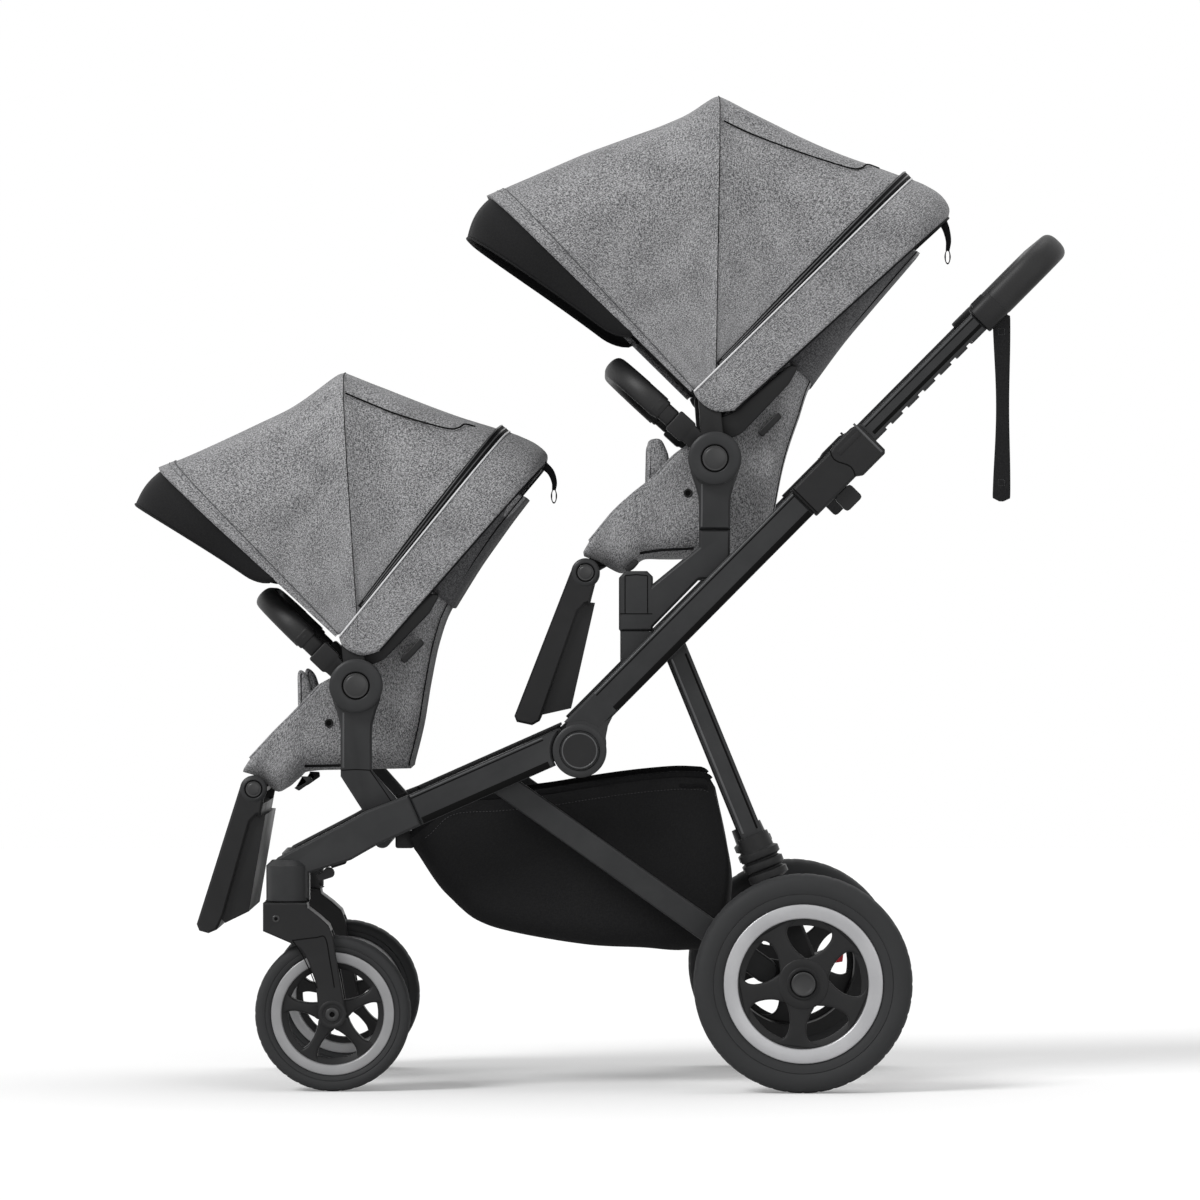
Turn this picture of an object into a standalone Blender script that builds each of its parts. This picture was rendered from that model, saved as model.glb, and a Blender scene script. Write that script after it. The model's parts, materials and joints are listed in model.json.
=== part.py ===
"""Tandem stroller: one folding frame that carries an upper and a lower seat.

The front of the stroller faces -X, its left side faces -Y, and Z points up.
The origin is on the floor under the middle of the overall box.
Lengths are metres and angles are degrees.
"""
import math

import bmesh
import bpy
from mathutils import Vector

for old_object in list(bpy.data.objects):
    bpy.data.objects.remove(old_object, do_unlink=True)

SIDES = (("left", -1), ("right", 1))
FIT = 0.0003            # clearance between pieces that seat on each other
RUNNING_FIT = 0.0005    # clearance round pieces that slide or turn

# Wheels
REAR_WHEEL_RADIUS = 0.150
REAR_TYRE_WIDTH = 0.050
REAR_RIM_RADIUS = 0.108
REAR_RIM_DEPTH = 0.018
REAR_RIM_WIDTH = 0.036
REAR_HUB_RADIUS = 0.024
REAR_HUB_WIDTH = 0.050
REAR_AXLE_X = 0.278
REAR_WHEEL_Y = 0.272
REAR_AXLE_RADIUS = 0.0065
FRONT_WHEEL_RADIUS = 0.107
FRONT_TYRE_WIDTH = 0.040
FRONT_RIM_RADIUS = 0.084
FRONT_RIM_DEPTH = 0.012
FRONT_RIM_WIDTH = 0.030
FRONT_HUB_RADIUS = 0.020
FRONT_HUB_WIDTH = 0.040
FRONT_AXLE_X = -0.367
FRONT_AXLE_RADIUS = 0.005
SPOKE_COUNT = 5
SPOKE_THICKNESS = 0.014
HUB_BUTTON_RADIUS = 0.017
HUB_BUTTON_TRAVEL = 0.003
HUB_BUTTON_HEIGHT = 0.009

# Casters
CASTER_TRAIL = 0.062
CASTER_HOUSING_RADIUS = 0.030
CASTER_HOUSING_FOOT_Z = 0.260
CASTER_HOUSING_TOP_Z = 0.319
CASTER_HOUSING_CROWN = 0.008
CASTER_STEM_RADIUS = 0.008
CASTER_STEM_LENGTH = 0.042
FORK_TYRE_GAP = 0.0035
FORK_ARM_THICKNESS = 0.011
FORK_CROWN_GAP = 0.007
FORK_EYE_RADIUS = 0.019
FORK_FRONT_EDGE = [(-0.058, 0.098), (-0.043, 0.089), (-0.033, 0.073), (-0.0225, 0.043)]
FORK_REAR_EDGE = [(0.012, 0.043), (0.005, 0.080), (0.001, 0.107), (-0.005, 0.122),
                  (-0.018, 0.134), (-0.034, 0.146)]
LOCK_PIVOT_SETBACK = 0.026
LOCK_PIVOT_Z = 0.2995
LOCK_HUB_RADIUS = 0.008
LOCK_LEVER_LENGTH = 0.018
LOCK_LEVER_WIDTH = 0.014

# Frame tubes, in the side view
HINGE_X = -0.028
HINGE_Z = 0.468
HINGE_RADIUS = 0.037
HINGE_CAP_RADIUS = 0.0255
HINGE_CAP_HEIGHT = 0.004
HINGE_WRAP_GAP = 0.0015
HINGE_FLARE = [(0.066, -0.0208), (0.052, -0.0255), (0.040, -0.0335), (0.031, -0.0415)]
TUBE_EDGE = 0.003
FRAME_Y = 0.235
TUBE_WIDTH = 0.030
FRONT_TUBE_ANGLE = 23.9
FRONT_TUBE_LENGTH = 0.220
FRONT_TUBE_DEPTH = 0.045
FRONT_TUBE_RISE = 0.017
UPPER_TUBE_ANGLE = 45.2
UPPER_TUBE_LENGTH = 0.438
UPPER_TUBE_DEPTH = 0.042
UPPER_TUBE_RISE = 0.022
TUBE_START = 0.020
FRONT_LEG_WIDTH = 0.034

# Handle
SLEEVE_LENGTH = 0.077
COLLAR_LENGTH = 0.054
COLLAR_DEPTH = 0.058
COLLAR_EDGE = 0.004
SLEEVE_DEPTH = 0.050
SLEEVE_WIDTH = 0.038
HANDLE_TUBE_DEPTH = 0.030
HANDLE_TUBE_WIDTH = 0.022
HANDLE_TUBE_RISE = 0.004
HANDLE_TUBE_REACH = 0.217
HANDLE_TUBE_ENGAGED = 0.190
HANDLE_TRAVEL = 0.1575
HANDLE_NOTCHES = 6
HANDLE_NOTCH_SIZE = 0.011
HANDLE_NOTCH_DEPTH = 0.0035
GRIP_LENGTH = 0.1436
GRIP_DEPTH = 0.042
GRIP_THICKNESS = 0.032
GRIP_CORNER = 0.055
GRIP_SQUARENESS = 0.75
BUTTON_LENGTH = 0.020
BUTTON_WIDTH = 0.012
BUTTON_TRAVEL = 0.003
BUTTON_PROUD = 0.004
STRAP_WIDTH = 0.025
STRAP_LENGTH = 0.237
STRAP_THICKNESS = 0.004
FOLD_SLIDER_LENGTH = 0.030
FOLD_SLIDER_DEPTH = 0.026
FOLD_SLIDER_WIDTH = 0.018

# Rear legs, axle and struts
LEG_PIVOT_STATION = 0.200
LEG_WIDTH = 0.031
LEG_THICKNESS = 0.022
LEG_EYE_RADIUS = 0.020
LEG_FOOT_OFFSET = 0.014
SUSPENSION_TRAVEL = 0.012
BOOT_START = 0.297
BOOT_LENGTH = 0.066
BOOT_RADIUS = 0.028
BOOT_RIBS = 3
BOOT_RIB_DEPTH = 0.005
BOOT_COLLAR = 0.020
SOCKET_WIDTH = 0.036
AXLE_TUBE_RADIUS = 0.013
AXLE_BLOCK_RADIUS = 0.026
AXLE_SHOULDER_RADIUS = 0.012
STRUT_DEPTH = 0.034
STRUT_THICKNESS = 0.014
STRUT_FRONT_X = -0.150
STRUT_FRONT_Z = 0.433
STRUT_REAR_X = 0.228
STRUT_REAR_Z = 0.164
LUG_THICKNESS = 0.012
PEDAL_PIVOT_RISE = 0.022
PEDAL_PIVOT_SETBACK = 0.020
PEDAL_LENGTH = 0.040
PEDAL_WIDTH = 0.070
PEDAL_THICKNESS = 0.014
PEDAL_EAR = 0.006
PEDAL_Y = -0.075

# Basket
BASKET_HALF_WIDTH = 0.170
BASKET_WALL = 0.004
BASKET_CORNER = 0.045
FRONT_BAR_X = -0.300
FRONT_BAR_Z = 0.345
FRONT_BAR_RADIUS = 0.012

# Seats
MOUNT_THICKNESS = 0.020
POST_WIDTH = 0.046
POST_HEIGHT = 0.083
POST_EDGE = 0.008
ARM_SEAM_DROP = 0.098
ARM_ELBOW_DROP = 0.167
BRACE_DEPTH = 0.045
LOWER_ARM_BEND = 0.117
POST_FOOT_Z = 0.632
UPPER_MOUNT_STATION = 0.133
LOWER_MOUNT_STATION = -0.281
LOWER_MOUNT_LENGTH = 0.050
LOWER_MOUNT_HEIGHT = 0.026
LOWER_MOUNT_DROP = 0.003
UPPER_SEAT_RISE = 0.238  # from the seat mount to the recline hub
LOWER_SEAT_RISE = 0.1695
LOWER_SEAT_SETBACK = 0.0363
ARM_WIDTH = 0.043
ARM_NECK = [(0.0215, -0.064), (0.0225, -0.052), (0.0270, -0.036), (0.0330, -0.019), (0.0340, 0.0)]
HUB_RADIUS = 0.0365
HUB_HEIGHT = 0.013
CANOPY_HALF_WIDTH = 0.200
CANOPY_WALL = 0.003
CANOPY_HEM = 0.022
CANOPY_CORNER = 0.085
CANOPY_BULGE = 0.010
SEAT_CORNER = 0.045
VISOR_GAP = 0.0008
SEAT_WALL = 0.018
BRACKET_GAP = 0.0003
FOOT_BAR_RADIUS = 0.012
FOOT_PANEL_INSET = 0.009
BUMPER_DEPTH = 0.030
BUMPER_THICKNESS = 0.020


# Outlines in the side view, as lists of (x, z) points


def polar(centre, radius, degrees):
    """The point at a radius and an angle from a centre."""
    angle = math.radians(degrees)
    return (centre[0] + radius * math.cos(angle), centre[1] + radius * math.sin(angle))


def arc(centre, radius, start, end, steps):
    """Points along an arc, both ends included."""
    return [polar(centre, radius, start + (end - start) * i / steps) for i in range(steps + 1)]


def circle(centre, radius, steps=24):
    """Points round a full circle."""
    return [polar(centre, radius, 360 * i / steps) for i in range(steps)]


def rounded(points, radius, steps=2):
    """An outline with each corner replaced by a curve that starts a radius away from it."""
    outline = []
    count = len(points)
    for i, corner in enumerate(points):
        here = Vector(corner)
        before = Vector(points[i - 1]) - here
        after = Vector(points[(i + 1) % count]) - here
        reach = min(radius, before.length * 0.45, after.length * 0.45)
        start = here + before.normalized() * reach
        end = here + after.normalized() * reach
        for step in range(steps + 1):
            t = step / steps
            point = start * (1 - t) ** 2 + here * 2 * t * (1 - t) + end * t ** 2
            outline.append((point.x, point.y))
    return outline


class Axis:
    """A straight line in the side view, with stations along it and a rise across it."""

    def __init__(self, origin, degrees, rise=0.0):
        angle = math.radians(degrees)
        self.degrees = degrees
        self.along = (math.cos(angle), math.sin(angle))
        self.across = (-math.sin(angle), math.cos(angle))
        self.origin = (origin[0] + rise * self.across[0], origin[1] + rise * self.across[1])

    def at(self, station, rise=0.0):
        """The (x, z) point at a station along the line and a rise above it."""
        return (self.origin[0] + station * self.along[0] + rise * self.across[0],
                self.origin[1] + station * self.along[1] + rise * self.across[1])

    def bar(self, start, end, low, high):
        """The four corners of a straight bar along the line."""
        return [self.at(start, low), self.at(end, low), self.at(end, high), self.at(start, high)]


# Solids


def finish_object(name, mesh, material):
    """Link a mesh to the scene as a named object with its material."""
    mesh.materials.append(material)
    piece = bpy.data.objects.new(name, mesh)
    bpy.context.scene.collection.objects.link(piece)
    return piece


def mesh_from(name, points, faces):
    """A closed mesh with its faces pointing out."""
    shape = bmesh.new()
    corners = [shape.verts.new(point) for point in points]
    for face in faces:
        shape.faces.new([corners[i] for i in face])
    bmesh.ops.recalc_face_normals(shape, faces=shape.faces)
    mesh = bpy.data.meshes.new(name)
    shape.to_mesh(mesh)
    shape.free()
    return mesh


def slab(name, outline, y_from, y_to, material, edge=0.0):
    """A side-view outline given a thickness along Y, with an optional chamfered edge."""
    low, high = min(y_from, y_to), max(y_from, y_to)
    shape = bmesh.new()
    face = shape.faces.new([shape.verts.new((x, low, z)) for x, z in outline])
    extruded = bmesh.ops.extrude_face_region(shape, geom=[face])["geom"]
    moved = [item for item in extruded if isinstance(item, bmesh.types.BMVert)]
    bmesh.ops.translate(shape, verts=moved, vec=(0, high - low, 0))
    bmesh.ops.recalc_face_normals(shape, faces=shape.faces)
    if edge > 0:
        rims = [e for e in shape.edges if abs(e.verts[0].co.y - e.verts[1].co.y) < 1e-7]
        bmesh.ops.bevel(shape, geom=rims, offset=edge, segments=1, affect="EDGES")
    mesh = bpy.data.meshes.new(name)
    shape.to_mesh(mesh)
    shape.free()
    return finish_object(name, mesh, material)


def turned(name, profile, centre, material, steps=32):
    """A closed profile of (radius, y) points turned round an axis along Y."""
    rows = len(profile)
    points = []
    for step in range(steps):
        angle = 2 * math.pi * step / steps
        for radius, y in profile:
            points.append((centre[0] + radius * math.cos(angle), y,
                           centre[1] + radius * math.sin(angle)))
    faces = []
    for step in range(steps):
        here, there = step * rows, (step + 1) % steps * rows
        for row in range(rows):
            after = (row + 1) % rows
            faces.append((here + row, here + after, there + after, there + row))
    piece = finish_object(name, mesh_from(name, points, faces), material)
    smooth(piece)
    return piece


def pin(name, centre, radius, y_from, y_to, material, steps=20):
    """A round pin along Y."""
    piece = slab(name, circle(centre, radius, steps), y_from, y_to, material)
    smooth(piece)
    return piece




def loft(name, rings, material):
    """Closed rings of equal length joined one to the next, with a cap at each end."""
    size = len(rings[0])
    points = [point for ring in rings for point in ring]
    faces = [tuple(range(size)), tuple(range(len(points) - size, len(points)))]
    for row in range(len(rings) - 1):
        base = row * size
        for i in range(size):
            after = (i + 1) % size
            faces.append((base + i, base + after, base + size + after, base + size + i))
    piece = finish_object(name, mesh_from(name, points, faces), material)
    smooth(piece)
    return piece


def upright(name, x, y, radius, z_from, z_to, material, steps=20, crown=0.0):
    """A round post along Z, with its top edge cut back by the crown's height."""
    levels = [(z_from, radius), (z_to, radius)]
    if crown > 0:
        levels = [(z_from, radius), (z_to - crown, radius), (z_to, radius - crown)]
    return loft(name, [[(px, py, z) for px, py in circle((x, y), reach, steps)]
                       for z, reach in levels], material)


def sheet(name, grid, inner, material):
    """A curved wall: an outer grid of points and an inner one, closed round their rims."""
    rows, columns = len(grid), len(grid[0])
    points = [p for row in grid for p in row] + [p for row in inner for p in row]
    offset = rows * columns
    faces = []
    for r in range(rows - 1):
        for c in range(columns - 1):
            quad = (r * columns + c, r * columns + c + 1,
                    (r + 1) * columns + c + 1, (r + 1) * columns + c)
            faces.append(quad)
            faces.append(tuple(offset + i for i in reversed(quad)))
    rim = list(range(columns))
    rim += [r * columns + columns - 1 for r in range(1, rows)]
    rim += [(rows - 1) * columns + c for c in range(columns - 2, -1, -1)]
    rim += [r * columns for r in range(rows - 2, 0, -1)]
    for i, corner in enumerate(rim):
        after = rim[(i + 1) % len(rim)]
        faces.append((corner, after, offset + after, offset + corner))
    piece = finish_object(name, mesh_from(name, points, faces), material)
    smooth(piece)
    return piece


def smooth(piece):
    """Round pieces are shaded smooth, with their real edges kept sharp."""
    piece.data.shade_smooth()
    piece.data.set_sharp_from_angle(angle=math.radians(35))


def combine(target, other, operation):
    """Join another solid to a piece, or cut it out, and keep the other as a hidden guide."""
    modifier = target.modifiers.new(other.name, "BOOLEAN")
    modifier.operation = operation
    modifier.object = other
    other.hide_render = True
    other.display_type = "WIRE"


def fuse(target, *others):
    """Join other solids to a piece."""
    for other in others:
        combine(target, other, "UNION")


def cut(target, *others):
    """Cut other solids out of a piece."""
    for other in others:
        combine(target, other, "DIFFERENCE")


def pivot(name, x, y, z, parent=None):
    """An empty on a joint's axis, which carries the pieces that turn or slide there."""
    empty = bpy.data.objects.new(name, None)
    empty.empty_display_size = 0.02
    bpy.context.scene.collection.objects.link(empty)
    empty["place"] = (x, y, z)
    home = parent["place"] if parent else (0.0, 0.0, 0.0)
    empty.parent = parent
    empty.location = (x - home[0], y - home[1], z - home[2])
    return empty


def carry(empty, *pieces):
    """Hang pieces on a joint's empty, with their origins on its axis."""
    place = Vector(empty["place"])
    for piece in pieces:
        for vertex in piece.data.vertices:
            vertex.co -= place
        piece.parent = empty


def finish(name, colour, roughness, metallic=0.0):
    """A plain material with the colour and gloss of the real surface."""
    material = bpy.data.materials.new(name)
    material.use_nodes = True
    shader = material.node_tree.nodes["Principled BSDF"]
    shader.inputs["Base Color"].default_value = (*colour, 1.0)
    shader.inputs["Roughness"].default_value = roughness
    shader.inputs["Metallic"].default_value = metallic
    return material


FRAME_PAINT = finish("frame_paint", (0.055, 0.058, 0.062), 0.45, 0.6)
BLACK_PLASTIC = finish("black_plastic", (0.020, 0.021, 0.023), 0.5)
TYRE_RUBBER = finish("tyre_rubber", (0.050, 0.052, 0.055), 0.8)
RIM_SILVER = finish("rim_silver", (0.45, 0.46, 0.47), 0.35, 0.8)
LEATHERETTE = finish("leatherette", (0.030, 0.031, 0.033), 0.6)
GREY_FABRIC = finish("grey_fabric", (0.26, 0.26, 0.265), 0.95)
BLACK_FABRIC = finish("black_fabric", (0.012, 0.012, 0.013), 0.9)
WEBBING = finish("webbing", (0.030, 0.031, 0.032), 0.85)
RED_PLASTIC = finish("red_plastic", (0.55, 0.02, 0.03), 0.4)

REAR_AXLE = (REAR_AXLE_X, REAR_WHEEL_RADIUS)
FRONT_AXLE = (FRONT_AXLE_X, FRONT_WHEEL_RADIUS)
HINGE = (HINGE_X, HINGE_Z)
CASTER_X = FRONT_AXLE_X - CASTER_TRAIL
TUBE_IN = FRAME_Y - TUBE_WIDTH / 2
TUBE_OUT = FRAME_Y + TUBE_WIDTH / 2
FRONT_AXIS = Axis(HINGE, FRONT_TUBE_ANGLE, FRONT_TUBE_RISE)
UPPER_AXIS = Axis(HINGE, UPPER_TUBE_ANGLE, UPPER_TUBE_RISE)
HANDLE_AXIS = Axis(HINGE, UPPER_TUBE_ANGLE, UPPER_TUBE_RISE + HANDLE_TUBE_RISE)
TUBE_TOP_STATION = TUBE_START + UPPER_TUBE_LENGTH
COLLAR_TOP_STATION = TUBE_TOP_STATION + SLEEVE_LENGTH + COLLAR_LENGTH
LOWER_MOUNT_RISE = FRONT_TUBE_DEPTH / 2 - LOWER_MOUNT_DROP
LOWER_MOUNT = FRONT_AXIS.at(LOWER_MOUNT_STATION, LOWER_MOUNT_RISE)
HANDLE_TOP_STATION = COLLAR_TOP_STATION + HANDLE_TUBE_REACH
HANDLE_FOOT_STATION = COLLAR_TOP_STATION - HANDLE_TUBE_ENGAGED

root = pivot("front_frame", 0, 0, 0)
fold = pivot("fold_hinge", HINGE_X, 0, HINGE_Z, root)


def wheel(prefix, side, centre, y, size, first_spoke):
    """A spoked rim with its bore, and the tyre that seats on it."""
    radius, tyre_width, rim_radius, rim_depth, rim_width, hub_radius, hub_width, bore = size
    steps = 32
    half = tyre_width / 2
    seat_half = rim_width / 2
    tread = radius - rim_radius
    inner = rim_radius + FIT
    tyre = turned(f"{prefix}_tyre_{side}", [
        (inner, y - seat_half + 0.002), (rim_radius + 0.30 * tread, y - half + 0.002),
        (rim_radius + 0.68 * tread, y - half), (radius, y - 0.40 * half),
        (radius, y + 0.40 * half), (rim_radius + 0.68 * tread, y + half),
        (rim_radius + 0.30 * tread, y + half - 0.002), (inner, y + seat_half - 0.002),
    ], centre, TYRE_RUBBER, steps)
    well = rim_radius - rim_depth
    rim = turned(f"{prefix}_rim_{side}", [
        (rim_radius, y - seat_half), (rim_radius, y + seat_half),
        (rim_radius - 0.25 * rim_depth, y + seat_half), (well, y + 0.55 * seat_half),
        (well, y - 0.55 * seat_half), (rim_radius - 0.25 * rim_depth, y - seat_half),
    ], centre, RIM_SILVER, steps)
    hub = turned(f"{prefix}_hub_guide_{side}", [
        (bore + RUNNING_FIT, y - hub_width / 2), (bore + RUNNING_FIT, y + hub_width / 2),
        (hub_radius * 0.8, y + hub_width / 2), (hub_radius, y + hub_width / 2 - 0.003),
        (hub_radius, y - hub_width / 2 + 0.003), (hub_radius * 0.8, y - hub_width / 2),
    ], centre, RIM_SILVER, 20)
    fuse(rim, hub)
    for i in range(SPOKE_COUNT):
        turn = first_spoke + 360 * i / SPOKE_COUNT
        reach = rim_radius - 0.55 * rim_depth
        spoke = slab(f"{prefix}_spoke_guide_{side}_{i}", [
            polar(centre, hub_radius * 0.85, turn - 24), polar(centre, hub_radius * 1.6, turn - 13),
            polar(centre, well * 0.82, turn - 9), polar(centre, reach, turn - 17),
            polar(centre, reach, turn + 17), polar(centre, well * 0.82, turn + 9),
            polar(centre, hub_radius * 1.6, turn + 13), polar(centre, hub_radius * 0.85, turn + 24),
        ], y - SPOKE_THICKNESS / 2, y + SPOKE_THICKNESS / 2, RIM_SILVER)
        fuse(rim, spoke)
    return rim, tyre


def hinged_tube(name, axis, far, depth, rise, y_in, y_out, lap_from, lap_to, wrap_low, wrap_high,
                flare=()):
    """A tube whose near end wraps round the fold hinge and carries half of its lapped disc."""
    wrap = HINGE_RADIUS + HINGE_WRAP_GAP
    half = depth / 2
    low_station = math.copysign(math.sqrt(wrap ** 2 - (rise - half) ** 2), far)
    high_point = polar(HINGE, wrap, wrap_high)
    high_station = ((high_point[0] - axis.origin[0]) * axis.along[0]
                    + (high_point[1] - axis.origin[1]) * axis.along[1])
    tube = slab(name, [
        axis.at(far, half), axis.at(far, -half), axis.at(low_station, -half),
        *arc(HINGE, wrap, wrap_low, wrap_high, 8)[1:],
        axis.at(high_station, half),
    ], y_in, y_out, FRAME_PAINT, TUBE_EDGE)
    disc = pin(f"{name}_disc_guide", HINGE, HINGE_RADIUS, lap_from, lap_to, FRAME_PAINT, 32)
    reach = math.copysign(HINGE_RADIUS * 1.35, far)
    tongue = slab(f"{name}_tongue_guide", [
        axis.at(reach, -half + TUBE_EDGE), *[axis.at(ahead, up) for ahead, up in flare],
        axis.at(0, -rise * 0.5), axis.at(high_station * 0.8, half * 0.75),
        axis.at(reach, half - TUBE_EDGE),
    ], lap_from, lap_to, FRAME_PAINT)
    fuse(disc, tongue)
    fuse(tube, disc)
    return tube


# Front frame: tubes, cast legs with caster housings, crossbars

for side, sign in SIDES:
    mid_y = sign * FRAME_Y
    front_end = -TUBE_START - FRONT_TUBE_LENGTH
    tube = hinged_tube(f"front_tube_{side}", FRONT_AXIS, front_end, FRONT_TUBE_DEPTH,
                       FRONT_TUBE_RISE, sign * TUBE_IN, sign * TUBE_OUT, sign * (TUBE_IN + FIT),
                       sign * (FRAME_Y - FIT / 2), 211.9, 133.9)
    carry(root, tube)

    leg_top = FRONT_AXIS.at(front_end - FIT, FRONT_TUBE_DEPTH / 2)
    leg_foot = FRONT_AXIS.at(front_end - FIT, -FRONT_TUBE_DEPTH / 2)
    housing_front = CASTER_X - CASTER_HOUSING_RADIUS
    housing_rear = CASTER_X + CASTER_HOUSING_RADIUS
    leg = slab(f"front_leg_{side}", [
        (housing_front + 0.004, CASTER_HOUSING_FOOT_Z + 0.003),
        (housing_rear, CASTER_HOUSING_FOOT_Z + 0.003),
        (housing_rear, 0.300), (-0.342, 0.318), (-0.307, 0.338), leg_foot, leg_top,
        (-0.322, 0.385), (-0.356, 0.366), (housing_front + 0.016, CASTER_HOUSING_TOP_Z + 0.002),
        (housing_front + 0.006, CASTER_HOUSING_TOP_Z - 0.010),
    ], mid_y - FRONT_LEG_WIDTH / 2, mid_y + FRONT_LEG_WIDTH / 2, FRAME_PAINT, 0.003)
    housing = upright(f"caster_housing_guide_{side}", CASTER_X, mid_y, CASTER_HOUSING_RADIUS,
                      CASTER_HOUSING_FOOT_Z, CASTER_HOUSING_TOP_Z - 0.001, FRAME_PAINT, 24,
                      CASTER_HOUSING_CROWN)
    stem_bore = upright(f"stem_bore_guide_{side}", CASTER_X, mid_y,
                        CASTER_STEM_RADIUS + FIT, CASTER_HOUSING_FOOT_Z - 0.01,
                        CASTER_HOUSING_FOOT_Z + CASTER_STEM_LENGTH, FRAME_PAINT)
    mount = slab(f"lower_mount_guide_{side}", FRONT_AXIS.bar(
        LOWER_MOUNT_STATION - LOWER_MOUNT_LENGTH / 2, LOWER_MOUNT_STATION + LOWER_MOUNT_LENGTH / 2,
        LOWER_MOUNT_RISE - LOWER_MOUNT_HEIGHT, LOWER_MOUNT_RISE - FIT,
    ), sign * (TUBE_IN - MOUNT_THICKNESS), sign * (FRAME_Y - 0.012), FRAME_PAINT)
    fuse(leg, housing, mount)
    cut(leg, stem_bore)
    carry(root, leg)

hinge_bar = pin("hinge_crossbar", HINGE, 0.014, -TUBE_IN + FIT, TUBE_IN - FIT, FRAME_PAINT)
carry(root, hinge_bar)
front_bar = pin("front_crossbar", (FRONT_BAR_X, FRONT_BAR_Z), FRONT_BAR_RADIUS,
                -FRAME_Y + FRONT_LEG_WIDTH / 2 + FIT, FRAME_Y - FRONT_LEG_WIDTH / 2 - FIT,
                FRAME_PAINT)
carry(root, front_bar)

# Casters: forks with stems, locks and front wheels

for side, sign in SIDES:
    mid_y = sign * FRAME_Y
    swivel = pivot(f"caster_swivel_{side}", CASTER_X, mid_y, CASTER_HOUSING_FOOT_Z, root)
    fork_top = CASTER_HOUSING_FOOT_Z - FIT
    crown_foot = 2 * FRONT_WHEEL_RADIUS + FORK_CROWN_GAP
    fork_half = FRONT_TYRE_WIDTH / 2 + FORK_TYRE_GAP + FORK_ARM_THICKNESS
    slot_half = FRONT_TYRE_WIDTH / 2 + FORK_TYRE_GAP
    fork_front = CASTER_X - CASTER_HOUSING_RADIUS - 0.003
    fork = slab(f"caster_fork_{side}", [
        (fork_front, fork_top), (fork_front, crown_foot),
        *[(FRONT_AXLE_X + ahead, FRONT_WHEEL_RADIUS + up) for ahead, up in FORK_FRONT_EDGE],
        *arc(FRONT_AXLE, FORK_EYE_RADIUS, 190, 360, 8),
        *[(FRONT_AXLE_X + ahead, FRONT_WHEEL_RADIUS + up) for ahead, up in FORK_REAR_EDGE],
        (FORK_REAR_EDGE[-1][0] + FRONT_AXLE_X - 0.001, fork_top),
    ], mid_y - fork_half, mid_y + fork_half, BLACK_PLASTIC, 0.002)
    slot = slab(f"fork_slot_guide_{side}", [
        (CASTER_X - 0.10, -0.02), (FRONT_AXLE_X + 0.14, -0.02),
        (FRONT_AXLE_X + 0.14, crown_foot), (CASTER_X - 0.10, crown_foot),
    ], mid_y - slot_half, mid_y + slot_half, BLACK_PLASTIC)
    stem = upright(f"fork_stem_guide_{side}", CASTER_X, mid_y, CASTER_STEM_RADIUS,
                   fork_top - 0.004, CASTER_HOUSING_FOOT_Z + CASTER_STEM_LENGTH - 0.002,
                   BLACK_PLASTIC)
    axle = pin(f"fork_axle_guide_{side}", FRONT_AXLE, FRONT_AXLE_RADIUS,
               mid_y - slot_half - 0.002, mid_y + slot_half + 0.002, BLACK_PLASTIC)
    cut(fork, slot)
    fuse(fork, stem, axle)
    carry(swivel, fork)

    rim, tyre = wheel("front", side, FRONT_AXLE, mid_y, (
        FRONT_WHEEL_RADIUS, FRONT_TYRE_WIDTH, FRONT_RIM_RADIUS, FRONT_RIM_DEPTH,
        FRONT_RIM_WIDTH, FRONT_HUB_RADIUS, FRONT_HUB_WIDTH, FRONT_AXLE_RADIUS), 90)
    spin = pivot(f"front_wheel_axle_{side}", FRONT_AXLE_X, mid_y, FRONT_WHEEL_RADIUS, swivel)
    carry(spin, rim, tyre)

    lever_centre = (CASTER_X + CASTER_HOUSING_RADIUS + LOCK_PIVOT_SETBACK, LOCK_PIVOT_Z)
    lever = slab(f"caster_lock_{side}", [
        *arc(lever_centre, LOCK_HUB_RADIUS, -40, 165, 8),
        polar(lever_centre, LOCK_LEVER_LENGTH, 190), polar(lever_centre, LOCK_LEVER_LENGTH, 220),
    ], mid_y - LOCK_LEVER_WIDTH / 2, mid_y + LOCK_LEVER_WIDTH / 2, BLACK_PLASTIC)
    lock = pivot(f"caster_lock_pivot_{side}", lever_centre[0], mid_y, lever_centre[1], root)
    carry(lock, lever)


# Upper frame: tubes with the seat mounts, hinge caps, clamp sleeves

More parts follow.
